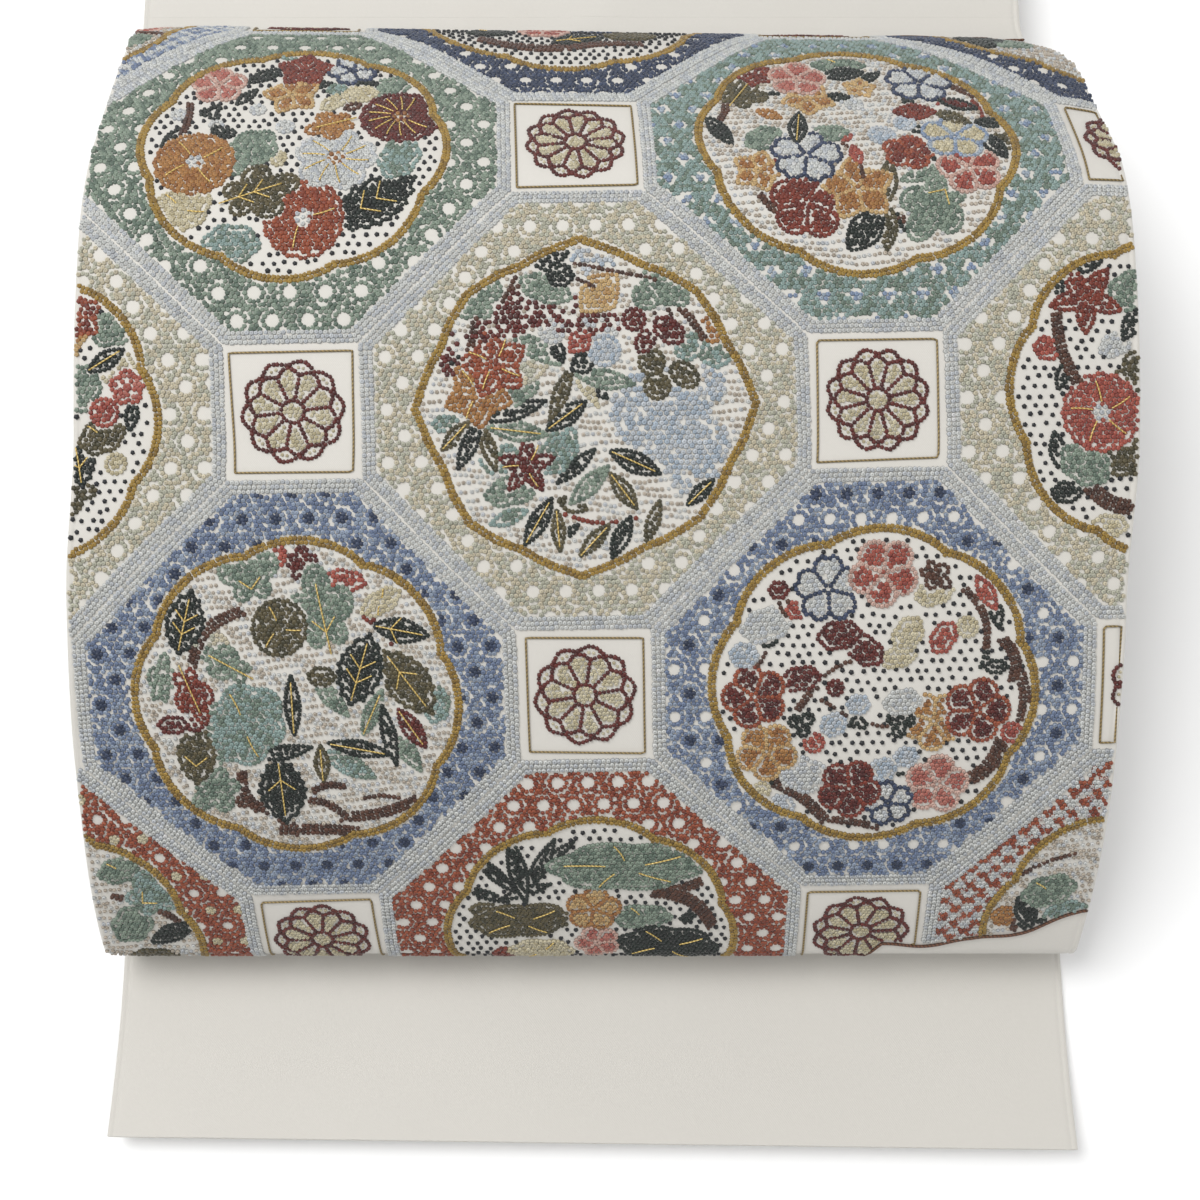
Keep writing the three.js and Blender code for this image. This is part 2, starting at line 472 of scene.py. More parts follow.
@dataclass(frozen=True)
class CordFinish:
    """A couched metallic or silk thread, wound in fine turns."""

    name: str
    colour: tuple[float, float, float]
    # The darker colour: painted shade in the grooves between the turns.
    painted_groove_shade: tuple[float, float, float]
    metallic: float = 0.35
    roughness: float = 0.4

    def material(self) -> bpy.types.Material:
        """The cord's material: bands that run slantwise round it, the darker ones painted shade in the
        grooves between turns.
        """
        dye = Dye(self.name)
        uv = dye.node("ShaderNodeUVMap", {"uv_map": "cloth"}).outputs["UV"]
        split = dye.node("ShaderNodeSeparateXYZ", sockets={0: uv})
        winds = (dye.wire(split.outputs[0]) * 5200.0 + dye.wire(split.outputs[1]) * 6.28).sine()
        share = winds * 0.5 + 0.5
        dye.set(
            Base_Color=dye.mix(share, linear(self.painted_groove_shade), linear(self.colour)),
            Metallic=self.metallic,
            Roughness=self.roughness,
            Normal=dye.bump(share, 0.1 * MM, 0.7),
        )
        return dye.material


# ---------------------------------------------------------------- meshes


def make_piece(
    name: str,
    vertices: Array,
    faces: Sequence[Array],
    materials: Sequence[bpy.types.Material],
    uv: Array | None = None,
    slots: Array | None = None,
    colours: Array | None = None,
    sharp: float = 180.0,
) -> bpy.types.Object:
    """A smooth mesh object from whole arrays.

    Args:
        name: the piece's name.
        vertices: one row of metres each.
        faces: arrays of corners, each array with faces of one size.
        materials: the piece's materials.
        uv: cloth coordinates of each vertex, in metres.
        slots: each face's material.
        colours: each vertex's thread colour, for the knots with painted shade on their rims and dimples.
        sharp: edges that bend by more than this many degrees aren't smoothed.

    Returns:
        The object, at the origin.
    """
    corners = np.concatenate([f.ravel() for f in faces]).astype(np.int32)
    sizes = np.concatenate([np.full(len(f), f.shape[1]) for f in faces]).astype(np.int32)
    mesh = bpy.data.meshes.new(name)
    mesh.vertices.add(len(vertices))
    mesh.vertices.foreach_set("co", vertices.astype(np.float32).ravel())
    mesh.loops.add(len(corners))
    mesh.loops.foreach_set("vertex_index", corners)
    mesh.polygons.add(len(sizes))
    mesh.polygons.foreach_set("loop_start", np.concatenate([[0], np.cumsum(sizes)[:-1]]).astype(np.int32))
    mesh.polygons.foreach_set("use_smooth", np.ones(len(sizes), bool))
    for material in materials:
        mesh.materials.append(material)
    if slots is not None:
        mesh.polygons.foreach_set("material_index", slots.astype(np.int32))
    mesh.update(calc_edges=True)
    if uv is not None:
        layer = mesh.uv_layers.new(name="cloth")
        layer.uv.foreach_set("vector", uv[corners].astype(np.float32).ravel())
    if colours is not None:
        attribute = mesh.color_attributes.new("thread", "FLOAT_COLOR", "POINT")
        full = np.concatenate([colours, np.ones((len(colours), 1))], axis=1)
        attribute.data.foreach_set("color", full.astype(np.float32).ravel())
    mesh.validate()
    mesh.set_sharp_from_angle(angle=math.radians(sharp))
    piece = bpy.data.objects.new(name, mesh)
    bpy.context.scene.collection.objects.link(piece)
    return piece


def loft(rings: Array) -> list[Array]:
    """Faces of a closed solid through rings of equal count, with strips closing its ends.

    Each ring runs along the near side, round one edge, back along the far side and round
    the other edge, so a strip between its two sides closes an end.

    Args:
        rings: points, ring by ring.

    Returns:
        Quad and triangle corner arrays, facing out.
    """
    rows, count = rings.shape[:2]
    ring, point = np.meshgrid(np.arange(rows - 1), np.arange(count), indexing="ij")
    a = (ring * count + point).ravel()
    b = (ring * count + (point + 1) % count).ravel()
    walls = np.stack([a, b, b + count, a + count], 1)
    width = count // 2 - 1
    near = np.arange(width - 1)
    far = count - 2 - near
    low = np.stack([near, far, far - 1, near + 1], 1)
    tips = np.array([[0, count - 1, count - 2], [width - 1, width + 1, width]])
    high = (rows - 1) * count
    return [walls, low, high + low[:, ::-1], tips, high + tips[:, ::-1]]


class Cloth:
    """Sheets of the band, each a thin closed wall with rounded edges."""

    def __init__(self, course: Course) -> None:
        """Keeps the course that the sheets follow."""
        self.course = course

    @staticmethod
    def columns(count: int) -> Array:
        """Places across the band: even, and closer along its edges."""
        edge = np.array([3.4, 2.6, 2.2, 1.9, 1.6, 1.2, 0.6])
        half = BAND_WIDTH / 2
        inner = np.linspace(-half + 5, half - 5, count)
        return np.concatenate([-half + edge[::-1], inner, half - edge])

    def rings(self, stations: Array, columns: Array, near: float, far: float) -> tuple[Array, Array]:
        """The wall's rings and the cloth coordinates of their points.

        Args:
            stations: places along the band.
            columns: places across it.
            near, far: depths of the wall's two sides.

        Returns:
            Points (ring, place, 3) in metres and coordinates (ring, place, 2) in metres.
        """
        half = BAND_WIDTH / 2
        across = np.concatenate([columns, [half], columns[::-1], [-half]])
        depth = np.concatenate([
            np.full(len(columns), near), [(near + far) / 2],
            np.full(len(columns), far), [(near + far) / 2],
        ])
        at, x = np.meshgrid(stations, across, indexing="ij")
        points = self.course.place(x, at, -np.broadcast_to(depth, x.shape))
        return points, MM * np.stack([x, at], -1)

    def sheet(
        self, name: str, stations: Array, count: int, near: float, far: float,
        materials: Sequence[bpy.types.Material],
    ) -> bpy.types.Object:
        """One wall of the band as a piece."""
        points, uv = self.rings(stations, self.columns(count), near, far)
        return make_piece(
            name, points.reshape(-1, 3), loft(points), materials, uv.reshape(-1, 2), sharp=60.0
        )


@dataclass(frozen=True)
class Layer:
    """A layer of the pile: how far its edges stand out from the neat pile, in mm."""

    near: float
    far: float
    left: float
    right: float


@dataclass
class Pile:
    """The rest of the band, folded to and fro under the top run."""

    course: Course
    return_length: float = 14.0
    clearance: float = 0.4
    start_gap: float = 3.0
    layers: tuple[Layer, ...] = (
        Layer(0, 1.5, 0.5, -0.5),
        Layer(1, 0, -1, 1),
        Layer(-1, 1, 1, 0),
        Layer(1.5, 2, 0, -1),
        Layer(0, -1, -0.5, 1.5),
        Layer(1, 1, 1.5, 0),
        Layer(-0.5, 0, 0, 0.5),
        Layer(0.5, 1.5, 1, -0.5),
        Layer(0, -16, 0, 0),
    )
    length: float = field(default=0.0, init=False)

    def build(self, face: bpy.types.Material, backing: bpy.types.Material) -> bpy.types.Object:
        """One ribbon from the top run's turned-back end to the band's other end.

        Its middle line is straight in each layer and a half circle at each fold, with the
        face cloth on one side and the backing on the other, so they change places at each fold.

        Args:
            face: the face cloth's material.
            backing: the backing's material.

        Returns:
            The ribbon.
        """
        start = self.course.span("band_run")[0]
        y, z, _ = self.course.line(np.array([start]))
        near_end = y[0] + self.course.offset[1] + self.start_gap
        far_end = y[0] + self.course.offset[1] + PILE_LENGTH
        height = z[0] + self.course.offset[2] - WALL - self.clearance
        pitch = height / len(self.layers)
        radius = pitch / 2
        path: list[tuple[float, float, float, float]] = []
        for step, level in enumerate(reversed(range(len(self.layers)))):
            layer = self.layers[level]
            middle = (level + 0.5) * pitch
            low, high = near_end - layer.near + pitch, far_end + layer.far - pitch
            if step == 0:
                high = far_end - self.return_length - 1.0
            forward = step % 2 == 1
            ends = (low, high) if forward else (high, low)
            heading = 0.0 if forward else math.pi
            side = (layer.right - layer.left) / 2
            bow = np.linspace(0, 1, 13)
            for share in bow:
                lift = 0.12 * math.sin(math.pi * 3 * share + level)
                path.append((ends[0] + (ends[1] - ends[0]) * share, middle + lift, heading, side))
            if level == 0:
                break
            turn = 1.0 if forward else -1.0
            for share in np.linspace(0, 1, 9)[1:-1]:
                angle = math.pi * share
                path.append((
                    ends[1] + turn * radius * math.sin(angle),
                    middle - radius * (1 - math.cos(angle)),
                    heading - turn * angle,
                    side,
                ))
        route = np.array(path)
        steps = np.hypot(np.diff(route[:, 0]), np.diff(route[:, 1]))
        self.length = float(steps.sum())
        along = start + PILE_LENGTH + 20 + np.concatenate([[0.0], np.cumsum(steps)])
        columns = Cloth.columns(24)
        half = BAND_WIDTH / 2
        wall = (pitch - 0.45) / 2
        across = np.concatenate([columns, [half], columns[::-1], [-half]])
        depth = np.concatenate([np.full(len(columns), wall), [0], np.full(len(columns), -wall), [0]])
        shift = self.course.arranging(np.array([start]))[0, 0] + self.course.offset[0]
        x = across[None, :] + shift + route[:, 3:4]
        side_y = route[:, 0:1] - depth[None, :] * np.sin(route[:, 2:3])
        side_z = route[:, 1:2] + depth[None, :] * np.cos(route[:, 2:3])
        points = MM * np.stack([x, side_y, side_z], -1)
        uv = MM * np.stack(np.broadcast_arrays(across[None, :], along[:, None]), -1)
        faces = loft(points)
        place = np.tile(np.arange(len(across)), len(route) - 1)
        slots = [np.where(place < len(columns), 0, 1)]
        slots += [np.zeros(len(f)) for f in faces[1:]]
        return make_piece(
            "folded_band", points.reshape(-1, 3), faces, (face, backing), uv.reshape(-1, 2),
            np.concatenate(slots), sharp=60.0,
        )


# ---------------------------------------------------------------- embroidery


class Thread(Enum):
    """Embroidery threads: a main and a second display colour, and the second's share."""

    WHITE = ((0.93, 0.94, 0.93), (0.86, 0.88, 0.90), 0.35)
    CREAM = ((0.93, 0.89, 0.76), (0.86, 0.81, 0.66), 0.35)
    IVORY = ((0.91, 0.87, 0.76), (0.84, 0.84, 0.76), 0.45)
    SHELL = ((0.86, 0.81, 0.74), (0.78, 0.73, 0.66), 0.35)
    GOLD = ((0.74, 0.60, 0.26), (0.62, 0.49, 0.20), 0.35)
    SAGE = ((0.62, 0.69, 0.62), (0.46, 0.54, 0.48), 0.4)
    AQUA = ((0.64, 0.74, 0.72), (0.52, 0.60, 0.54), 0.4)
    MIST = ((0.86, 0.89, 0.92), (0.76, 0.82, 0.88), 0.4)
    SKY = ((0.60, 0.68, 0.80), (0.74, 0.80, 0.86), 0.45)
    BLUE = ((0.50, 0.57, 0.70), (0.66, 0.72, 0.81), 0.4)
    NAVY = ((0.19, 0.25, 0.37), (0.28, 0.34, 0.47), 0.3)
    TERRACOTTA = ((0.70, 0.35, 0.21), (0.60, 0.27, 0.16), 0.4)
    RUST = ((0.58, 0.23, 0.14), (0.48, 0.17, 0.11), 0.4)
    DARK_RED = ((0.45, 0.14, 0.10), (0.36, 0.10, 0.08), 0.4)
    TAN = ((0.77, 0.55, 0.30), (0.68, 0.45, 0.23), 0.35)
    APRICOT = ((0.90, 0.76, 0.53), (0.82, 0.65, 0.42), 0.3)
    PINK = ((0.84, 0.53, 0.47), (0.76, 0.42, 0.37), 0.4)
    BLUSH = ((0.93, 0.78, 0.72), (0.87, 0.70, 0.64), 0.3)
    CORAL = ((0.76, 0.38, 0.31), (0.66, 0.30, 0.25), 0.4)
    BROWN = ((0.40, 0.24, 0.16), (0.31, 0.18, 0.12), 0.4)
    OLIVE = ((0.42, 0.38, 0.25), (0.32, 0.30, 0.19), 0.4)
    DARK_GREEN = ((0.10, 0.16, 0.13), (0.06, 0.11, 0.09), 0.4)
    BLACK = ((0.06, 0.08, 0.12), (0.04, 0.06, 0.09), 0.3)


class Form(Enum):
    """Outlines of motifs, each a radius that varies round a centre."""

    DISC = "disc"
    MUM = "mum"
    PLUM = "plum"
    CHERRY = "cherry"
    BELL = "bell"
    STAR = "star"
    LANCE = "lance"
    JAGGED = "jagged"
    LOBED = "lobed"
    TREFOIL = "trefoil"
    CLOUD = "cloud"
    POINTED = "pointed"


def reach(form: Form, angle: Array) -> Array:
    """A form's radius at each angle, as a share of its size.

    Petals and lobes are the bare cosine of half their number times the angle, raised to a
    power below one to round them; points are a triangle wave; a leaf is an ellipse whose
    exponent below two draws its ends to points.
    """
    def leaf(slim: float, power: float) -> Array:
        return (np.abs(np.cos(angle)) ** power + (np.abs(np.sin(angle)) / slim) ** power) ** (-1 / power)

    def point(count: int) -> Array:
        return 1 - 2 * np.abs((angle * count / (2 * np.pi)) % 1 - 0.5)

    petals = np.abs(np.cos(2.5 * angle))
    if form is Form.MUM:
        return 0.93 + 0.07 * np.abs(np.cos(8 * angle))
    if form is Form.PLUM:
        return 0.74 + 0.26 * petals ** 0.6
    if form is Form.CHERRY:
        return 0.70 + 0.30 * petals ** 0.6 - 0.10 * np.clip(petals - 0.96, 0, 1) / 0.04
    if form is Form.BELL:
        return 0.60 + 0.40 * (1 - point(5)) ** 0.9
    if form is Form.STAR:
        return 0.46 + 0.54 * (1 - point(5)) ** 1.1
    if form is Form.LANCE:
        return leaf(0.36, 1.45)
    if form is Form.JAGGED:
        return leaf(0.62, 1.6) * (1 + 0.07 * np.cos(16 * angle))
    if form is Form.LOBED:
        return (0.60 + 0.40 * petals ** 0.8) * (1 + 0.22 * np.cos(angle))
    if form is Form.TREFOIL:
        return 0.42 + 0.58 * np.abs(np.cos(1.5 * angle)) ** 0.7
    if form is Form.CLOUD:
        return 0.82 + 0.13 * np.abs(np.cos(3 * angle + 0.4)) + 0.05 * np.cos(2 * angle)
    if form is Form.POINTED:
        return leaf(0.8, 1.3)
    return np.ones_like(angle)


PITCH = 1.38                  # mm between knots
KNOT_RADIUS = 0.88
NEAR = 0.95                   # from a knot in a line to the nearest one in a filling
VEINED = {Form.LANCE, Form.JAGGED, Form.LOBED, Form.POINTED}


def spaced(line: Array, pitch: float, closed: bool = False) -> Array:
    """Points at even distances along a line through the given points."""
    if closed:
        line = np.concatenate([line, line[:1]])
    run = np.concatenate([[0.0], np.cumsum(np.hypot(*np.diff(line, axis=0).T))])
    count = max(1, round(run[-1] / pitch))
    at = np.linspace(0, run[-1], count + 1)
    at = at[:-1] if closed else at
    return np.stack([np.interp(at, run, line[:, 0]), np.interp(at, run, line[:, 1])], 1)


def drawn_in(line: Array, inset: float) -> Array:
    """A closed anticlockwise outline moved inwards by inset."""
    run = np.roll(line, -1, 0) - np.roll(line, 1, 0)
    run /= np.maximum(np.hypot(*run.T), 1e-9)[:, None]
    return line + inset * np.stack([-run[:, 1], run[:, 0]], 1)


def net(low: Sequence[float], high: Sequence[float], pitch: float, rng: np.random.Generator) -> Array:
    """A staggered net of points over a rectangle, each a little off its place."""
    rise = pitch * 0.87
    a, b = np.meshgrid(np.arange(low[0], high[0], pitch), np.arange(low[1], high[1], rise))
    a = a + (np.arange(len(a))[:, None] % 2) * pitch / 2
    points = np.stack([a.ravel(), b.ravel()], 1)
    return points + rng.normal(0, 0.09 * pitch, points.shape)


@dataclass(frozen=True)
class Motif:
    """A flower, leaf or patch: its form, place, size, thread and finishing."""

    form: Form
    across: float
    up: float
    size: float
    thread: Thread
    turn: float = 0.0
    slim: float = 1.0
    edge: Thread | None = None
    heart: Thread | None = None
    veins: int = 0

    def local(self, points: Array) -> tuple[Array, Array]:
        """Distance and angle of points in the motif's own unsquashed frame."""
        turn = math.radians(self.turn)
        da, db = points[:, 0] - self.across, points[:, 1] - self.up
        u = da * math.cos(turn) + db * math.sin(turn)
        v = (db * math.cos(turn) - da * math.sin(turn)) / self.slim
        return np.hypot(u, v), np.arctan2(v, u)

    def holds(self, points: Array, grow: float = 0.0) -> Array:
        """Which points lie inside the outline grown by grow."""
        distance, angle = self.local(points)
        return distance < self.size * reach(self.form, angle) + grow

    def spot(self, distance: Array | float, angle: Array | float) -> Array:
        """Points at a share of the size and an angle, in the tile's frame."""
        turn = math.radians(self.turn)
        u = self.size * np.asarray(distance) * np.cos(angle)
        v = self.size * np.asarray(distance) * np.sin(angle) * self.slim
        return np.stack([
            self.across + u * math.cos(turn) - v * math.sin(turn),
            self.up + u * math.sin(turn) + v * math.cos(turn),
        ], -1)

    def outline(self) -> Array:
        """The outline as a closed fine line."""
        angle = np.linspace(0, 2 * np.pi, 240, endpoint=False)
        return self.spot(reach(self.form, angle), angle)

    def petal_lines(self) -> list[Array]:
        """Lines between petals, from the heart to the notches."""
        if self.edge is None or self.form not in (Form.PLUM, Form.CHERRY, Form.BELL):
            return []
        made = []
        for petal in range(5):
            angle = (petal + 0.5) * 2 * math.pi / 5
            made.append(self.spot(np.linspace(0.12, 0.66, 20), angle))
        return made

    def ribs(self) -> list[Array]:
        """Couched veins: a leaf's midrib with pairs of side veins, or a flower's rays."""
        share = np.linspace(0, 1, 9)
        if self.form in VEINED:
            made = [self.spot(np.abs(share * 1.6 - 0.85), np.where(share * 1.6 < 0.85, np.pi, 0.0))]
            for pair in range(self.veins - 1):
                root = -0.35 + 0.4 * pair
                for side in (-1, 1):
                    u = root + 0.30 * share
                    v = side * 0.34 * share
                    made.append(self.spot(np.hypot(u, v), np.arctan2(v, u)))
            return made
        rays = []
        for ray in range(self.veins):
            angle = (ray + 0.3) * 2 * math.pi / self.veins
            rays.append(self.spot(0.26 + 0.5 * share, angle + 0.12 * share))
        return rays


@dataclass(frozen=True)
class Branch:
    """A stem: a bowed line of knots from one place to another."""

    start: tuple[float, float]
    end: tuple[float, float]
    bow: float = 0.0
    thread: Thread = Thread.BROWN
    rows: int = 1

    def lines(self) -> list[Array]:
        """The stem's rows of knots, side by side."""
        share = np.linspace(0, 1, 40)[:, None]
        start, end = np.array(self.start), np.array(self.end)
        run = end - start
        off = np.array([-run[1], run[0]]) / max(np.hypot(*run), 1e-9)
        middle = start + run * share + off * self.bow * np.sin(np.pi * share)
        spread = (np.arange(self.rows) - (self.rows - 1) / 2) * PITCH * 0.85
        return [middle + off * s for s in spread]


@dataclass(frozen=True)
class Drift:
    """Loose rows of knots inside a slanted oval, like scattered seeds."""

    across: float
    up: float
    size: float
    slim: float
    thread: Thread
    share: float = 0.6
    turn: float = 0.0


class Spots(Enum):
    """What the spots in an octagon's ground are."""

    BARE = "bare"
    NAVY = "navy"
    MIXED = "mixed"
    FRET = "fret"
    LATTICE = "lattice"


class Field(Enum):
    """What lies round the motifs inside a medallion."""

    DOTS = "dots"
    WAVES = "waves"
    CLOSE = "close"


@dataclass(frozen=True)
class Octagon:
    """One octagon of the lattice: its ground, its medallion and its motifs."""

    thread: Thread
    spots: Spots
    field: Field
    cusped: bool = False
    spacing: float = 10.4
    spot: float = 1.9
    size: float = 0.97            # of its medallion
    motifs: tuple[Motif | Branch | Drift, ...] = ()


# Short names for the tables of motifs, which give form, place, size, thread, turn and slimness.
M, B, F, T = Motif, Branch, Form, Thread

SAGE_LEFT = Octagon(T.SAGE, Spots.BARE, Field.DOTS, size=0.94, motifs=(
    M(F.PLUM, -25, 28, 9, T.PINK, 20, edge=T.BLUSH),
    M(F.BELL, 1, 36, 9.5, T.RUST, 15, edge=T.RUST),
    M(F.CHERRY, 16, 36, 8.5, T.WHITE, 40, edge=T.NAVY),
    M(F.BELL, -2, 23, 9.5, T.TAN, 30, edge=T.APRICOT),
    M(F.MUM, 32, 12, 13, T.DARK_RED, heart=T.TAN, veins=14, slim=0.9),
    M(F.CLOUD, 19, 23, 6, T.CREAM, 10, 0.8),
    M(F.CLOUD, 11, 19, 5, T.CREAM, 40, 0.7),
    M(F.DISC, 17, 17, 3, T.BROWN, 20, 0.6),
    M(F.LOBED, 12, 9, 8, T.TAN, 200, 0.8, veins=1),
    M(F.CHERRY, 13, -6, 13, T.WHITE, 10, heart=T.TAN, veins=10),
    M(F.CLOUD, 32, -6, 9, T.AQUA, 70, 0.8),
    M(F.MUM, -29, -7, 12.5, T.TAN, heart=T.WHITE, veins=4),
    M(F.CLOUD, -32, -24, 10, T.CREAM, 30, 0.85, veins=5),
    M(F.LOBED, -11, -19, 12, T.OLIVE, 20, 0.8, veins=3),
    M(F.MUM, 4, -27, 13.5, T.TERRACOTTA, 90, 0.92, heart=T.WHITE, veins=3),
    M(F.JAGGED, 25, -22, 14, T.DARK_GREEN, 35, 0.9, veins=3),
    M(F.CLOUD, -13, -3, 11, T.SAGE, 60, 0.8),
    M(F.DISC, -4, -6, 3.2, T.CREAM, 80, 0.8),
    M(F.CLOUD, -17, -35, 9, T.AQUA, 0, 0.8),
    B((-33, 19), (-35, 1), 1.0, T.BROWN, 2),
    M(F.LANCE, -11, 33, 7, T.DARK_GREEN, 35, 1.2),
    M(F.LANCE, -16, 22, 5, T.DARK_GREEN, 50, 1.2),
    M(F.TREFOIL, -26, 15, 4, T.DARK_GREEN, 60),
    M(F.LANCE, -36, 4, 6, T.DARK_GREEN, 50, 1.3),
    M(F.TREFOIL, -22, 5, 4.5, T.DARK_GREEN, 10),
    M(F.DISC, -12, 16, 2.6, T.WHITE),
    M(F.DISC, -24, 9, 2.4, T.WHITE),
    M(F.DISC, -36, 14, 2.6, T.WHITE),
    M(F.DISC, -3, 8, 3, T.WHITE),
    M(F.LANCE, 6, 28, 4.5, T.DARK_GREEN, 10, 1.3),
    M(F.TREFOIL, 21, 27, 4, T.DARK_GREEN, 30),
    M(F.CLOUD, 28, 27, 8, T.SAGE, 20, 0.7),
    M(F.CLOUD, 13, 26, 5, T.AQUA, 20, 0.7),
    M(F.CLOUD, -3, 44, 5, T.AQUA, 0, 0.5),
))

AQUA_RIGHT = Octagon(T.AQUA, Spots.FRET, Field.WAVES, spacing=9.6, motifs=(
    M(F.PLUM, -14, 32, 9.5, T.PINK, 10, edge=T.BLUSH),
    M(F.BELL, -27, 34, 6.5, T.RUST, 40, edge=T.RUST),
    M(F.BELL, -12, 21, 9, T.TAN, 50, edge=T.APRICOT),
    M(F.LOBED, -33, 23, 8.5, T.OLIVE, 60, veins=1),
    M(F.LANCE, 1, 35, 7, T.DARK_GREEN, 10, 1.5),
    M(F.BELL, 5, 27, 5.5, T.TAN, 10, edge=T.APRICOT),
    M(F.CHERRY, 24, 30, 11, T.WHITE, 10, edge=T.NAVY),
    M(F.LANCE, 9, 33, 5, T.DARK_GREEN, 40, 1.2),
    M(F.LANCE, -3, 22, 4.5, T.DARK_GREEN, 0, 1.4),
    M(F.DISC, 2, 18, 3, T.WHITE),
    M(F.POINTED, 20, 14, 7, T.RUST, 0, 0.8, edge=T.RUST),
    M(F.LANCE, 19, 20, 3.5, T.DARK_GREEN, 90, 1.6),
    M(F.LANCE, 34, 18, 6.5, T.DARK_RED, -25, 1.3, edge=T.DARK_GREEN),
    M(F.DISC, 29, 20, 2.6, T.CORAL),
    M(F.LANCE, 31, 11, 6.5, T.OLIVE, -35, 1.2),
    M(F.PLUM, 30, 1, 10.5, T.CREAM, 10, edge=T.SKY),
    M(F.PLUM, 32, -13, 10, T.CORAL, 30, edge=T.BLUSH),
    M(F.PLUM, 15, -6, 8.5, T.RUST, 5, 0.9, edge=T.TERRACOTTA),
    M(F.DISC, 8, 2, 4.4, T.MIST),
    M(F.DISC, 16, 8, 3.6, T.MIST),
    M(F.LANCE, 19, 5, 3.6, T.DARK_GREEN, -10, 1.6),
    M(F.LANCE, 11, 0, 3, T.DARK_GREEN, 10, 1.6),
    M(F.DISC, 21, -8, 2.2, T.DARK_GREEN),
    M(F.LANCE, -17, 6, 8, T.DARK_GREEN, 80, 1.1, veins=1),
    M(F.CHERRY, -16, -7, 11.5, T.WHITE, 8, edge=T.NAVY),
    M(F.CLOUD, -28, 1, 7, T.SAGE, 40, 0.8),
    M(F.CLOUD, -8, 3, 6.5, T.SAGE, 10, 0.7),
    M(F.DISC, -4, 2, 3.2, T.CORAL),
    M(F.LANCE, -1, -7, 4.4, T.CORAL, 100, 1.4),
    B((-5, -1), (0, -16), 1.5),
    M(F.BELL, -31, -13, 8.5, T.TAN, 0, edge=T.APRICOT),
    M(F.BELL, -2, -20, 12, T.TAN, 24, edge=T.APRICOT),
    M(F.PLUM, -17, -25, 12, T.RUST, 10, edge=T.RUST),
    B((-33, -1), (-19, -14), -1, T.RUST),
    B((-31, -22), (-20, -31), -1.5, T.BROWN, 2),
    M(F.LANCE, 7, -18, 9, T.OLIVE, 80, 1.0, veins=1),
    M(F.LOBED, 21, -25, 12.5, T.SAGE, 235, 0.8, veins=2),
    M(F.LANCE, 18, -15, 8, T.SAGE, 20, 1.0),
    M(F.LANCE, -1, -34, 8.5, T.DARK_GREEN, 50, 1.7),
    M(F.LANCE, 6, -34, 7, T.OLIVE, 80, 1.1),
    B((-2, -29), (16, -30), -1.5, T.BROWN, 2),
    M(F.LANCE, 11, -33, 5, T.DARK_GREEN, -60, 1.0),
    M(F.LANCE, 41, -3, 7, T.DARK_GREEN, -65, 1.3),
    M(F.LANCE, 42, 8, 5, T.DARK_GREEN, -10, 1.5),
    M(F.TREFOIL, 44, -1, 5, T.OLIVE, 30),
    B((34, 28), (43, 8), 3.5, T.BROWN, 2),
    B((39, 20), (40, 10), 1.0, T.RUST),
    M(F.LANCE, -41, 5, 8, T.DARK_GREEN, -65, 1.1, veins=1),
    B((-41, 9), (-38, 23), -1.5, T.BROWN, 2),
    M(F.LANCE, -25, 13, 4.5, T.TAN, -30, 1.5),
    M(F.LANCE, -19, 25, 5, T.DARK_GREEN, 15, 0.9),
    M(F.CLOUD, 0, 40, 9, T.SAGE, 0, 0.45, veins=1),
))

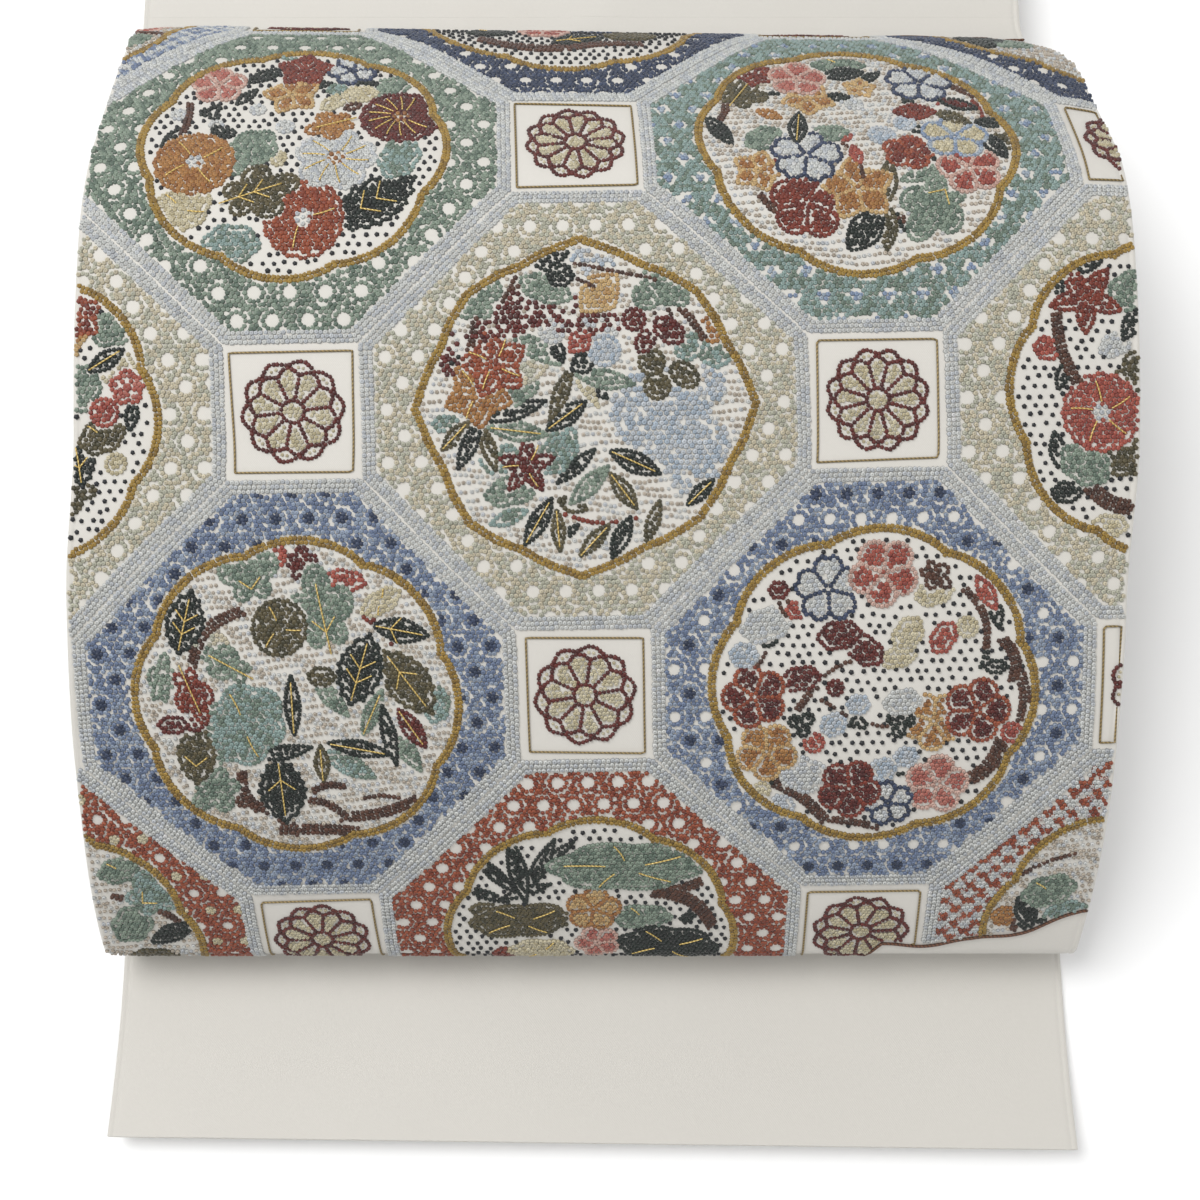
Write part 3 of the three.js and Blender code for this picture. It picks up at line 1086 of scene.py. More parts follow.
CREAM_MIDDLE = Octagon(T.IVORY, Spots.BARE, Field.WAVES, True, 9.6, 1.8, 0.95, (
    M(F.LANCE, -11.5, 43.6, 5, T.DARK_GREEN, -55, 1.7, veins=1),
    M(F.LANCE, -5.5, 45.5, 5, T.DARK_GREEN, 55, 1.3, veins=1),
    M(F.CLOUD, -6, 38.6, 4.4, T.DARK_GREEN, 0, veins=1),
    B((-1.5, 42), (21.5, 37)),
    B((-2, 38), (3.5, 35)),
    M(F.POINTED, 5.2, 33, 8, T.APRICOT, 45),
    M(F.LOBED, -31, 32, 9, T.SAGE, 90, 0.9),
    M(F.CLOUD, -10.4, 34.6, 8.5, T.SAGE, -20, 0.6),
    M(F.CLOUD, 24.5, 36, 9.5, T.SAGE, -45, 0.75, veins=1),
    M(F.DISC, 19, 32, 4.5, T.SAGE),
    B((-23, 31), (-19, 38)),
    B((-22, 34), (-25, 37)),
    B((-21, 34), (-16, 37)),
    Drift(-9, 28, 22, 0.26, T.DARK_RED, 0.62, -12),
    Drift(-24, 23, 11, 0.3, T.DARK_RED, 0.8, 8),
    Drift(-41, 20, 4.5, 1.2, T.DARK_RED, 0.5),
    Drift(-39, 12, 3, 1.2, T.DARK_RED, 0.6),
    M(F.DISC, 15, 25, 3.7, T.DARK_RED),
    M(F.CLOUD, 25, 21.5, 5.6, T.DARK_RED, -40, 0.8),
    M(F.CLOUD, 18, 18.5, 4.4, T.DARK_RED, 60, 0.8),
    B((23, 31), (29, 22), 0, T.BROWN),
    B((27, 30), (35, 19), 0.5, T.BROWN, 2),
    B((21, 28), (21, 23)),
    M(F.DISC, 37.5, 21.5, 4.2, T.TAN),
    M(F.CLOUD, 31, 16.5, 5.2, T.AQUA, 30, 0.9),
    M(F.CLOUD, 38, 14, 5, T.AQUA, -20, 0.9),
    M(F.DISC, 19.6, 12.3, 4.2, T.OLIVE),
    M(F.DISC, 21, 5.2, 4.2, T.OLIVE, veins=1),
    M(F.DISC, 29, 8.4, 5, T.OLIVE, -40, 0.75),
    B((22, 11), (27, 12), 0, T.BROWN),
    M(F.BELL, -26, 12.5, 10.5, T.TERRACOTTA, 30, edge=T.TERRACOTTA, veins=4),
    M(F.BELL, -31, 4, 10.5, T.TAN, 200, edge=T.TAN, veins=3),
    B((-31, 30), (-33, 17), 0.5, T.BROWN, 2),
    M(F.POINTED, -1, 18.7, 4.6, T.CORAL, 45),
    M(F.DISC, -9, 22, 4, T.WHITE),
    M(F.DISC, 6, 16, 5, T.MIST),
    M(F.LANCE, -7.4, 16.1, 4, T.DARK_GREEN, -70, 1.6),
    M(F.POINTED, -0.4, 12.3, 4.4, T.DARK_GREEN, 30),
    M(F.LANCE, -14, 17, 9, T.SAGE, -35, 1.0, veins=1),
    M(F.LANCE, 6, 7.5, 9, T.SAGE, -10, 1.0, veins=1),
    M(F.LANCE, -7, 3.7, 9, T.OLIVE, 66, 0.8, veins=1),
    M(F.LANCE, -16, 10, 8, T.IVORY, 30, 1.1, veins=1),
    M(F.CLOUD, -19, 6, 8, T.SAGE, 40, 0.7),
    M(F.LANCE, 0, 6, 8, T.CREAM, -60, 0.7, veins=1),
    M(F.LANCE, 4, 4, 3.6, T.DARK_GREEN, -40, 1.4),
    M(F.LANCE, -20, -1.2, 9.5, T.DARK_GREEN, 18, 0.8, veins=1),
    M(F.LANCE, -5.6, -2.8, 7.5, T.DARK_GREEN, 35, 1.2, veins=1),
    M(F.DISC, -36, 12.5, 3, T.DARK_GREEN),
    M(F.DISC, -38.5, 1.2, 2.8, T.DARK_GREEN),
    M(F.DISC, -30.5, -2.5, 2, T.WHITE),
    M(F.LANCE, -34, -10.5, 8.5, T.DARK_GREEN, 65, 0.9, veins=1),
    M(F.LANCE, -38, -8, 6, T.OLIVE, 45, 1.2, veins=1),
    M(F.LANCE, -28.5, -11.5, 7.5, T.OLIVE, -72, 0.9, veins=1),
    M(F.LANCE, -20, -7, 9, T.SAGE, -8, 1.0, veins=1),
    M(F.CLOUD, -40.5, -4.5, 4.6, T.AQUA, 0, 0.7),
    M(F.STAR, -17.4, -17.3, 9, T.DARK_RED, 18, veins=3),
    M(F.CLOUD, -8, -13, 8, T.AQUA, 60, 0.75),
    M(F.CLOUD, -25, -15, 6.5, T.AQUA, 10, 0.8),
    M(F.LANCE, -3, -17.5, 7.6, T.DARK_GREEN, 42, 0.9),
    M(F.LANCE, 14, -16.7, 8.6, T.DARK_GREEN, -25, 1.1, veins=1),
    M(F.LANCE, 33.3, -25.8, 5.4, T.DARK_GREEN, 45, 1.3, veins=1),
    M(F.LANCE, 11, -25, 7, T.OLIVE, -52, 1.1, veins=1),
    M(F.CLOUD, -21, -24, 9, T.SAGE, 15, 0.6),
    M(F.LANCE, -22, -32, 6, T.AQUA, 20, 1.2),
    M(F.LANCE, 1, -23, 8, T.SAGE, 45, 1.1),
    M(F.LANCE, -13.3, -33.3, 8, T.DARK_GREEN, 62, 1.1, veins=1),
    M(F.LANCE, -7.4, -36, 6.5, T.OLIVE, -82, 1.0, veins=1),
    M(F.LANCE, -3.7, -28.6, 5, T.OLIVE, -20, 1.5),
    M(F.LANCE, -4, -36.5, 3.5, T.DARK_GREEN, 40, 1.3),
    M(F.LANCE, 20, -34, 6.6, T.OLIVE, 75, 1.0, veins=1),
    M(F.LANCE, 11, -38.4, 6.8, T.DARK_GREEN, 68, 1.2, veins=1),
    M(F.LANCE, 3.3, -39.2, 6.6, T.OLIVE, 48, 1.1, veins=1),
    B((-7, -31), (15, -33), -2.0, T.RUST),
    Drift(22, -3, 15, 0.9, T.MIST, 0.85, -20),
    Drift(32, -15, 12, 0.8, T.MIST, 0.8, 70),
    Drift(35, 5, 7, 0.8, T.MIST, 0.8, 60),
    Drift(3, 42, 9, 0.4, T.MIST, 0.7, -20),
    Drift(3, 20, 7, 0.9, T.WHITE, 0.7),
))

BLUE_LEFT = Octagon(T.BLUE, Spots.NAVY, Field.CLOSE, False, 9.6, 1.6, 0.97, (
    M(F.JAGGED, -31.5, 24, 9.5, T.DARK_GREEN, 75, veins=3),
    B((-15, 27), (-30, 12), -3.5, T.BROWN, 3),
    M(F.LOBED, -12, 37, 10, T.SAGE, 100, 0.9, veins=2),
    M(F.MUM, -4, 22, 9, T.OLIVE, 70, 0.95, veins=3),
    M(F.LOBED, 9, 25, 13, T.SAGE, 100, 0.75, veins=2),
    M(F.DISC, -5.3, 43, 4.2, T.CORAL),
    M(F.LOBED, 3, 40, 6, T.DARK_RED, 90, 0.8, veins=1),
    M(F.CLOUD, 15.8, 35.6, 6.5, T.CORAL, -10, 0.6),
    M(F.CLOUD, 26, 29, 7, T.CREAM, 30, 0.6, veins=2),
    M(F.LANCE, 31.5, 20.5, 8.5, T.DARK_GREEN, -12, 1.3, veins=2),
    M(F.JAGGED, 19, 9, 11, T.DARK_GREEN, 72, veins=3),
    M(F.JAGGED, 33, 5, 11.5, T.OLIVE, -55, 0.95, veins=2),
    B((20, 26), (29, 17), 0.5, T.RUST, 2),
    M(F.LOBED, -19, 11, 9, T.SAGE, 150, 0.6, veins=1),
    M(F.CLOUD, -24, 17, 6, T.IVORY, 0, 0.8),
    M(F.CLOUD, 7.6, 7.3, 4.6, T.OLIVE, 0, 0.8),
    M(F.LOBED, -31, 4, 9.5, T.RUST, -70, 0.62, veins=1),
    M(F.LOBED, -39.5, 6, 8, T.SAGE, 80, 0.55),
    M(F.CLOUD, -37, -6.5, 5, T.DARK_RED, 0, 0.7),
    M(F.DISC, -30.5, -6.5, 3, T.DARK_RED, 10, 0.8),
    M(F.JAGGED, -31, -16, 9.5, T.OLIVE, 85, 1.0, veins=2),
    M(F.CLOUD, -16, -7, 14, T.AQUA, 50, 0.95, veins=2),
    M(F.CLOUD, -24, -12, 8, T.SAGE, 80, 0.9),
    M(F.LANCE, -1.4, -1.4, 9.5, T.DARK_GREEN, 90, 0.8, veins=1),
    M(F.LANCE, -5, -15.8, 9, T.DARK_GREEN, 10, 0.8, veins=1),
    M(F.LANCE, 17.5, -15, 10, T.DARK_GREEN, -12, 0.8, veins=1),
    M(F.LANCE, 26.5, -11, 10, T.DARK_GREEN, -80, 0.7),
    M(F.LANCE, 33.4, -9, 7.5, T.DARK_RED, -58, 1.2, veins=1),
    M(F.JAGGED, -6.5, -28, 10.5, T.DARK_GREEN, -88, 1.1, veins=2),
    M(F.LOBED, -25.5, -26.5, 8.5, T.SAGE, 220, 0.9),
    M(F.LANCE, 6, -19.5, 6, T.OLIVE, 90, 1.2, veins=1),
    M(F.LANCE, 14, -20, 9, T.AQUA, -30, 1.1, veins=1),
    M(F.LANCE, 31, -15, 9, T.SAGE, -60, 1.0, veins=1),
    M(F.LANCE, 10, 1, 8, T.SAGE, -50, 1.0),
    M(F.LANCE, 22, -4, 8, T.SAGE, 65, 1.0, veins=1),
    M(F.CLOUD, 41, -2, 6, T.AQUA, 80, 0.8),
    B((-18, -22), (-14, -34), -2.0, T.BROWN, 3),
    B((-22, -31), (-3, -42), 2.5, T.BROWN, 3),
    B((-8, -41), (15, -42), 0.5, T.BROWN, 3),
    B((0, -31), (12, -37), 1.5, T.BROWN, 2),
    B((10, -37), (33, -32), -1.5, T.BROWN, 3),
    B((31, -34), (39, -24), -1.0, T.BROWN, 2),
    B((3, -28), (12, -27), 1.0, T.BROWN, 2),
    B((18, -31), (28, -31), 0.8, T.BROWN),
))

BLUE_RIGHT = Octagon(T.BLUE, Spots.MIXED, Field.DOTS, False, 9.0, 1.6, 0.97, (
    M(F.PLUM, 3, 34.5, 10.5, T.CORAL, 50, edge=T.BLUSH),
    M(F.CHERRY, -13, 30, 10.5, T.WHITE, 20, edge=T.NAVY),
    M(F.CLOUD, -27.5, 30, 3.4, T.DARK_RED),
    M(F.CLOUD, -22.5, 24, 3.4, T.CORAL),
    M(F.LANCE, -26, 26, 4.5, T.BROWN, 100, 1.2),
    M(F.LOBED, 17.5, 34, 5.6, T.BROWN, -40, 0.8),
    M(F.CLOUD, 18, 28.5, 6.4, T.CREAM, 20, 0.75),
    M(F.LANCE, 33, 28, 6, T.CORAL, -60, 1.3),
    M(F.LANCE, 36, 22, 5, T.DARK_GREEN, -80, 1.3),
    B((27, 29), (33, 12), 2.5, T.BROWN, 2),
    B((38, 14), (41, 2), 2.0, T.BROWN, 3),
    M(F.CLOUD, -31, 20, 8.5, T.WHITE, 20, 0.7),
    M(F.LANCE, -31, 15, 4, T.DARK_GREEN, 10, 1.4),
    B((-31, 14), (-34, 8), 0.5, T.BROWN),
    M(F.CLOUD, -38, 11, 4.6, T.MIST),
    M(F.CLOUD, -10, 16.3, 7, T.DARK_RED, 10, 0.75),
    M(F.CLOUD, -2.5, 11.8, 6.5, T.DARK_RED, -35, 0.8),
    M(F.TREFOIL, -7, 12, 2.4, T.DARK_GREEN),
    M(F.CLOUD, 10, 16, 6.4, T.CREAM, 60, 0.8),
    M(F.CLOUD, 7, 9.2, 6, T.CREAM, 10, 0.6),
    M(F.CLOUD, 20.5, 15, 5.6, T.CORAL, 60, 0.8),
    M(F.LANCE, 20, 17.5, 3.5, T.DARK_GREEN, 10, 1.5),
    M(F.DISC, 27.5, 18, 3.4, T.CREAM),
    M(F.PLUM, -35, -1.5, 10, T.DARK_RED, 35, edge=T.TERRACOTTA),
    M(F.CLOUD, -21.5, 3.6, 6.6, T.DARK_RED, 10, 0.7),
    M(F.DISC, -11.2, 0.7, 2.8, T.DARK_RED),
    M(F.PLUM, -31.5, -18.5, 9.5, T.TAN, 55, edge=T.APRICOT),
    M(F.CLOUD, -4.5, -4.5, 3.8, T.MIST),
    M(F.CLOUD, 8.5, -4, 6, T.WHITE, 10, 0.8),
    M(F.CLOUD, -11.7, -10.5, 4.4, T.MIST, 30),
    M(F.TREFOIL, 8, -10.5, 4.8, T.DARK_GREEN, 20),
    M(F.TREFOIL, -4.5, -9.5, 3.5, T.DARK_GREEN, 80),
    M(F.TREFOIL, -21, -10, 4.5, T.DARK_GREEN, 40),
    M(F.DISC, -17.5, -16, 3.4, T.CORAL),
    M(F.PLUM, 30.5, -7, 10.2, T.DARK_RED, 0, edge=T.TERRACOTTA),
    M(F.PLUM, 17.8, -10, 9.4, T.TAN, 50, edge=T.APRICOT),
    M(F.PLUM, -6.8, -31, 9.8, T.DARK_RED, 60, edge=T.RUST),
    M(F.CHERRY, 5, -36, 8, T.WHITE, 30, edge=T.NAVY),
    M(F.PLUM, 19.3, -30, 9.8, T.PINK, 10, edge=T.BLUSH),
    M(F.CLOUD, -20.6, -26, 8.4, T.WHITE, -20, 0.8),
    M(F.CLOUD, -27, -36, 4.4, T.MIST),
    M(F.CLOUD, 10, -21, 4, T.MIST),
    M(F.CLOUD, 3, -25, 4.6, T.MIST, 20),
    M(F.LANCE, 8, -25, 5, T.DARK_GREEN, 5, 1.2),
    M(F.DISC, -33, -31, 3, T.CREAM),
    B((-4, 9), (-18, 0), -2.0, T.BROWN),
    B((-17, 1), (-25, -12), -1.0, T.BROWN, 2),
    B((-15, -3), (11, -12), -2.5, T.BROWN),
    B((-30, -28), (-14, -41), 1.5, T.BROWN, 3),
    B((-14, -41), (2, -44), 0.5, T.BROWN, 2),
    M(F.LANCE, -27, -29, 5, T.DARK_GREEN, -30, 1.4),
    B((42, 6), (44, -10), 1.5, T.BROWN, 3),
    B((38, -17), (28, -29), 2.0, T.BROWN, 4),
    M(F.DISC, 41, -14, 3.4, T.CORAL),
    M(F.CLOUD, 36, 6, 4, T.DARK_GREEN, 0, 0.7),
    B((33, 12), (32, 6), 0.5, T.DARK_GREEN, 2),
))

DOTTED_LEFT_EDGE = Octagon(T.IVORY, Spots.BARE, Field.DOTS, False, 9.8, 1.9, 0.93, (
    M(F.BELL, 23, 29, 8, T.RUST, 30, edge=T.TERRACOTTA),
    M(F.BELL, 19, 22, 7, T.TAN, 10, edge=T.APRICOT),
    M(F.CLOUD, 33, 25, 7.5, T.SAGE, 10, 0.8),
    M(F.LANCE, 31, 16, 6.5, T.DARK_GREEN, 30, 1.3, veins=1),
    M(F.PLUM, 37, 8, 5.5, T.PINK, 20, edge=T.CORAL),
    M(F.DISC, 30, 1, 4.5, T.CORAL),
    M(F.CLOUD, 23, 8, 8, T.SAGE, 60, 0.9),
    M(F.LANCE, 38, 0, 5, T.DARK_GREEN, 80, 1.3),
    M(F.CLOUD, 29, -6, 7.5, T.OLIVE, 20, 0.8, veins=1),
    M(F.JAGGED, 22, -12, 8.5, T.DARK_GREEN, 100, veins=2),
    M(F.LOBED, 21, -21, 9, T.OLIVE, 200, 0.8, veins=2),
    M(F.CLOUD, 34, 14, 6, T.CREAM),
    M(F.DISC, 33, -14, 3.4, T.CREAM),
    M(F.LANCE, 27, 37, 5, T.DARK_GREEN, 10, 1.3),
))

DOTTED_RIGHT_EDGE = Octagon(T.IVORY, Spots.BARE, Field.DOTS, False, 9.8, 1.9, 0.95, (
    M(F.STAR, -23, 29, 11.5, T.RUST, 50, edge=T.RUST),
    M(F.CLOUD, -10, 31, 8, T.SAGE, 40, 0.8),
    M(F.LANCE, -23, 39, 6, T.DARK_GREEN, 10, 1.4),
    M(F.LANCE, -10, 21, 6, T.DARK_GREEN, 60, 1.4),
    M(F.LANCE, -31, 33, 4.5, T.DARK_GREEN, 100, 1.3),
    B((-32, 24), (-27, 4), -1.5, T.BROWN, 3),
    M(F.CLOUD, -15, 15, 6, T.WHITE, 30, 0.7),
    M(F.CLOUD, -35, 14, 4.5, T.CORAL),
    M(F.MUM, -20, -5, 12, T.CORAL, heart=T.WHITE, veins=5),
    M(F.LOBED, -10, 5, 9, T.OLIVE, 30, 0.8, veins=2),
    M(F.LANCE, -31, 6, 5, T.DARK_GREEN, 70, 1.3),
    M(F.CLOUD, -25, -20, 8.5, T.SAGE, -30, 0.8),
    M(F.CLOUD, -12, -18, 8.5, T.OLIVE, 10, 0.8, veins=1),
    M(F.LANCE, -33, -16, 6, T.DARK_GREEN, 100, 1.3),
    B((-24, -26), (-8, -33), -2.0, T.BROWN, 4),
    M(F.CLOUD, -30, -28, 5, T.DARK_GREEN, 0, 0.8),
    M(F.CLOUD, -17, -38, 6, T.CREAM, 0, 0.7),
))

TERRACOTTA_MIDDLE = Octagon(T.TERRACOTTA, Spots.BARE, Field.DOTS, False, 9.0, 1.8, 0.92, (
    M(F.CLOUD, 11, 28, 25, T.SAGE, 0, 0.42, veins=5),
    M(F.PLUM, 1, 11.5, 9, T.APRICOT, 10, edge=T.TAN),
    M(F.PLUM, 2, -3, 7.5, T.PINK, 40, edge=T.BLUSH),
    M(F.CLOUD, -21.5, 7, 17, T.OLIVE, 5, 0.5, veins=4),
    M(F.CLOUD, 24, -5, 17, T.DARK_GREEN, -5, 0.6, veins=4),
    M(F.CLOUD, 16, 8, 10, T.SAGE, 0, 0.6, veins=1),
    B((20, 18), (38, 4), 4.0, T.BROWN, 4),
    B((20, 18), (34, 22), -1.0, T.BROWN, 3),
    B((29, 6), (36, 12), 0.5, T.DARK_GREEN, 3),
    M(F.LANCE, -22, 27, 13, T.DARK_GREEN, 100, 0.7),
    M(F.LANCE, -15, 29, 11, T.DARK_GREEN, 65, 0.7),
    M(F.LANCE, -29, 26, 10, T.DARK_GREEN, 130, 0.7),
    M(F.LANCE, -20, 19, 9, T.DARK_GREEN, 20, 0.7),
    M(F.LANCE, -32, 18, 8, T.DARK_GREEN, 155, 0.7),
    M(F.LANCE, -9, 34, 6, T.DARK_GREEN, 40, 0.8),
    M(F.CLOUD, -16, -7, 11, T.CREAM, 0, 0.6, veins=2),
    M(F.CLOUD, -27, -9, 5, T.RUST),
    M(F.CLOUD, -33, 12, 5, T.OLIVE, 0, 0.7),
    M(F.CLOUD, 37, 28, 4, T.OLIVE, 0, 0.7),
))

TERRACOTTA_LEFT_EDGE = Octagon(T.TERRACOTTA, Spots.MIXED, Field.WAVES, False, 8.6, 1.6, 0.95, (
    M(F.LOBED, 34, 20, 11, T.AQUA, 40, 0.8, veins=2),
    M(F.CLOUD, 26, 30, 8, T.SAGE, 20, 0.7, veins=1),
    M(F.LANCE, 38, 4, 9, T.DARK_GREEN, 30, 1.2, veins=1),
    M(F.CLOUD, 26, 8, 9, T.SAGE, 60, 0.8),
    B((22, 20), (42, 8), 2.0, T.BROWN, 2),
    M(F.CLOUD, 30, -8, 8, T.OLIVE, 0, 0.7),
))

TERRACOTTA_RIGHT_EDGE = Octagon(T.TERRACOTTA, Spots.LATTICE, Field.CLOSE, False, 7.0, 1.6, 0.95, (
    M(F.CLOUD, -28, 16, 9, T.SAGE, 20, 0.8, veins=1),
    M(F.LANCE, -34, 8, 8, T.DARK_GREEN, 110, 1.3, veins=1),
    M(F.LANCE, -28, 1, 8, T.DARK_GREEN, -10, 1.3),
    B((-40, 20), (-22, 30), 1.5, T.BROWN),
    M(F.CLOUD, -22, 6, 8, T.AQUA, 30, 0.8),
    B((-37, 0), (-32, 18), 1.0, T.BROWN, 2),
    M(F.CLOUD, -40, 6, 5, T.TAN),
))

NAVY_TOP = Octagon(T.NAVY, Spots.BARE, Field.DOTS, False, 9.6, 1.8, 0.97, (
    B((-28, -26), (-2, -34), -3.0, T.BROWN, 4),
    B((0, -34), (24, -30), 2.0, T.BROWN, 3),
    M(F.CLOUD, -24, -16, 8, T.DARK_GREEN, 10, 0.8, veins=1),
    M(F.JAGGED, 4, -26, 9, T.DARK_GREEN, 20, veins=2),
    M(F.CLOUD, 22, -20, 9, T.OLIVE, 0, 0.8),
    M(F.PLUM, -6, -14, 9, T.CORAL, 10, edge=T.BLUSH),
    M(F.CHERRY, 12, -4, 9, T.WHITE, 0, edge=T.NAVY),
    M(F.MUM, -22, 4, 11, T.TAN, heart=T.WHITE, veins=8),
    M(F.CLOUD, 30, 0, 8, T.SAGE),
    M(F.CLOUD, -2, 8, 9, T.AQUA, 0, 0.8),
))

NAVY_LEFT_EDGE = Octagon(T.BLUE, Spots.LATTICE, Field.WAVES, False, 7.0, 1.6, 0.97, (
    M(F.CLOUD, 26, -26, 9, T.SAGE, 20, 0.7),
    B((22, -14), (40, -24), 2.0, T.BROWN, 2),
    M(F.PLUM, 30, -8, 9, T.CORAL, 10, edge=T.BLUSH),
    M(F.CLOUD, 34, 8, 9, T.OLIVE, 0, 0.8),
))

NAVY_RIGHT_EDGE = Octagon(T.NAVY, Spots.BARE, Field.WAVES, False, 9.6, 1.8, 0.97, (
    M(F.TREFOIL, -32, -22, 9, T.DARK_GREEN, 20),
    B((-26, -12), (-42, -20), 2.0, T.BROWN, 3),
    M(F.CLOUD, -22, -24, 9, T.SAGE, 20, 0.7, veins=1),
    M(F.LANCE, -30, -6, 9, T.DARK_GREEN, 10, 1.3),
    M(F.CLOUD, -34, 8, 8, T.TAN, 0, 0.8),
))

# The lattice, by column across and row up from the bottom fold.
OCTAGONS = {
    (0, 0): TERRACOTTA_MIDDLE,
    (-2, 0): TERRACOTTA_LEFT_EDGE,
    (2, 0): TERRACOTTA_RIGHT_EDGE,
    (-1, 1): BLUE_LEFT,
    (1, 1): BLUE_RIGHT,
    (0, 2): CREAM_MIDDLE,
    (-2, 2): DOTTED_LEFT_EDGE,
    (2, 2): DOTTED_RIGHT_EDGE,
    (-1, 3): SAGE_LEFT,
    (1, 3): AQUA_RIGHT,
    (0, 4): NAVY_TOP,
    (-2, 4): NAVY_LEFT_EDGE,
    (2, 4): NAVY_RIGHT_EDGE,
}
PETALS = {(-1, 0): 11, (1, 0): 11, (0, 1): 10, (-2, 1): 11, (2, 1): 12,
          (-1, 2): 10, (1, 2): 12, (0, 3): 12, (-2, 3): 11, (2, 3): 11, (-1, 4): 12, (1, 4): 12}


class Claims:
    """A fine grid over one tile that keeps which places are taken."""

    CELL = 0.25
    HALF = 67.0

    def __init__(self) -> None:
        """Starts with every place free."""
        self.count = int(2 * self.HALF / self.CELL)
        self.taken = np.zeros((self.count, self.count), bool)

    def _cells(self, points: Array) -> Array:
        """The grid cells of points, kept inside the grid."""
        cells = ((points + self.HALF) / self.CELL).astype(int)
        return np.clip(cells, 0, self.count - 1)

    def free(self, points: Array) -> Array:
        """Which points lie in free places."""
        cells = self._cells(points)
        return ~self.taken[cells[:, 0], cells[:, 1]]

    def round(self, points: Array, radius: float) -> None:
        """Takes a disc round each point."""
        span = np.arange(-radius, radius + self.CELL, self.CELL)
        a, b = np.meshgrid(span, span)
        disc = np.stack([a[a * a + b * b <= radius * radius], b[a * a + b * b <= radius * radius]], 1)
        cells = self._cells((points[:, None, :] + disc[None, :, :]).reshape(-1, 2))
        self.taken[cells[:, 0], cells[:, 1]] = True

    def where(self, low: Sequence[float], high: Sequence[float], test: Test) -> None:
        """Takes the places in a rectangle that pass a test on their centres."""
        first, last = self._cells(np.array([low, high], float))
        columns = np.arange(first[0], last[0] + 1)
        rows = np.arange(first[1], last[1] + 1)
        i, j = np.meshgrid(columns, rows, indexing="ij")
        centres = (np.stack([i.ravel(), j.ravel()], 1) + 0.5) * self.CELL - self.HALF
        held = test(centres)
        self.taken[i.ravel()[held], j.ravel()[held]] = True


class Knots:
    """A growing set of knots in pattern coordinates, by the group they are worked in."""

    def __init__(self) -> None:
        """Starts empty."""
        self.groups: dict[str, list[tuple[Array, Array, Array]]] = {}

    def add(
        self, group: str, points: Array, thread: Thread, rng: np.random.Generator,
        radius: float = KNOT_RADIUS,
    ) -> None:
        """Works knots of one thread at these points.

        Args:
            group: the set of knots that they join.
            points: pattern coordinates in mm.
            thread: the thread's two colours.
            rng: the tile's random numbers.
            radius: each knot's radius in mm.
        """
        if not len(points):
            return
        main, second, share = thread.value
        pick = rng.random(len(points)) < share
        colour = np.where(pick[:, None], linear(second)[:3], linear(main)[:3])
        colour = colour * (1 + rng.normal(0, 0.07, (len(points), 1)))
        size = radius * (1 + rng.normal(0, 0.05, len(points)))
        self.groups.setdefault(group, []).append((points, size, np.clip(colour, 0, 1)))


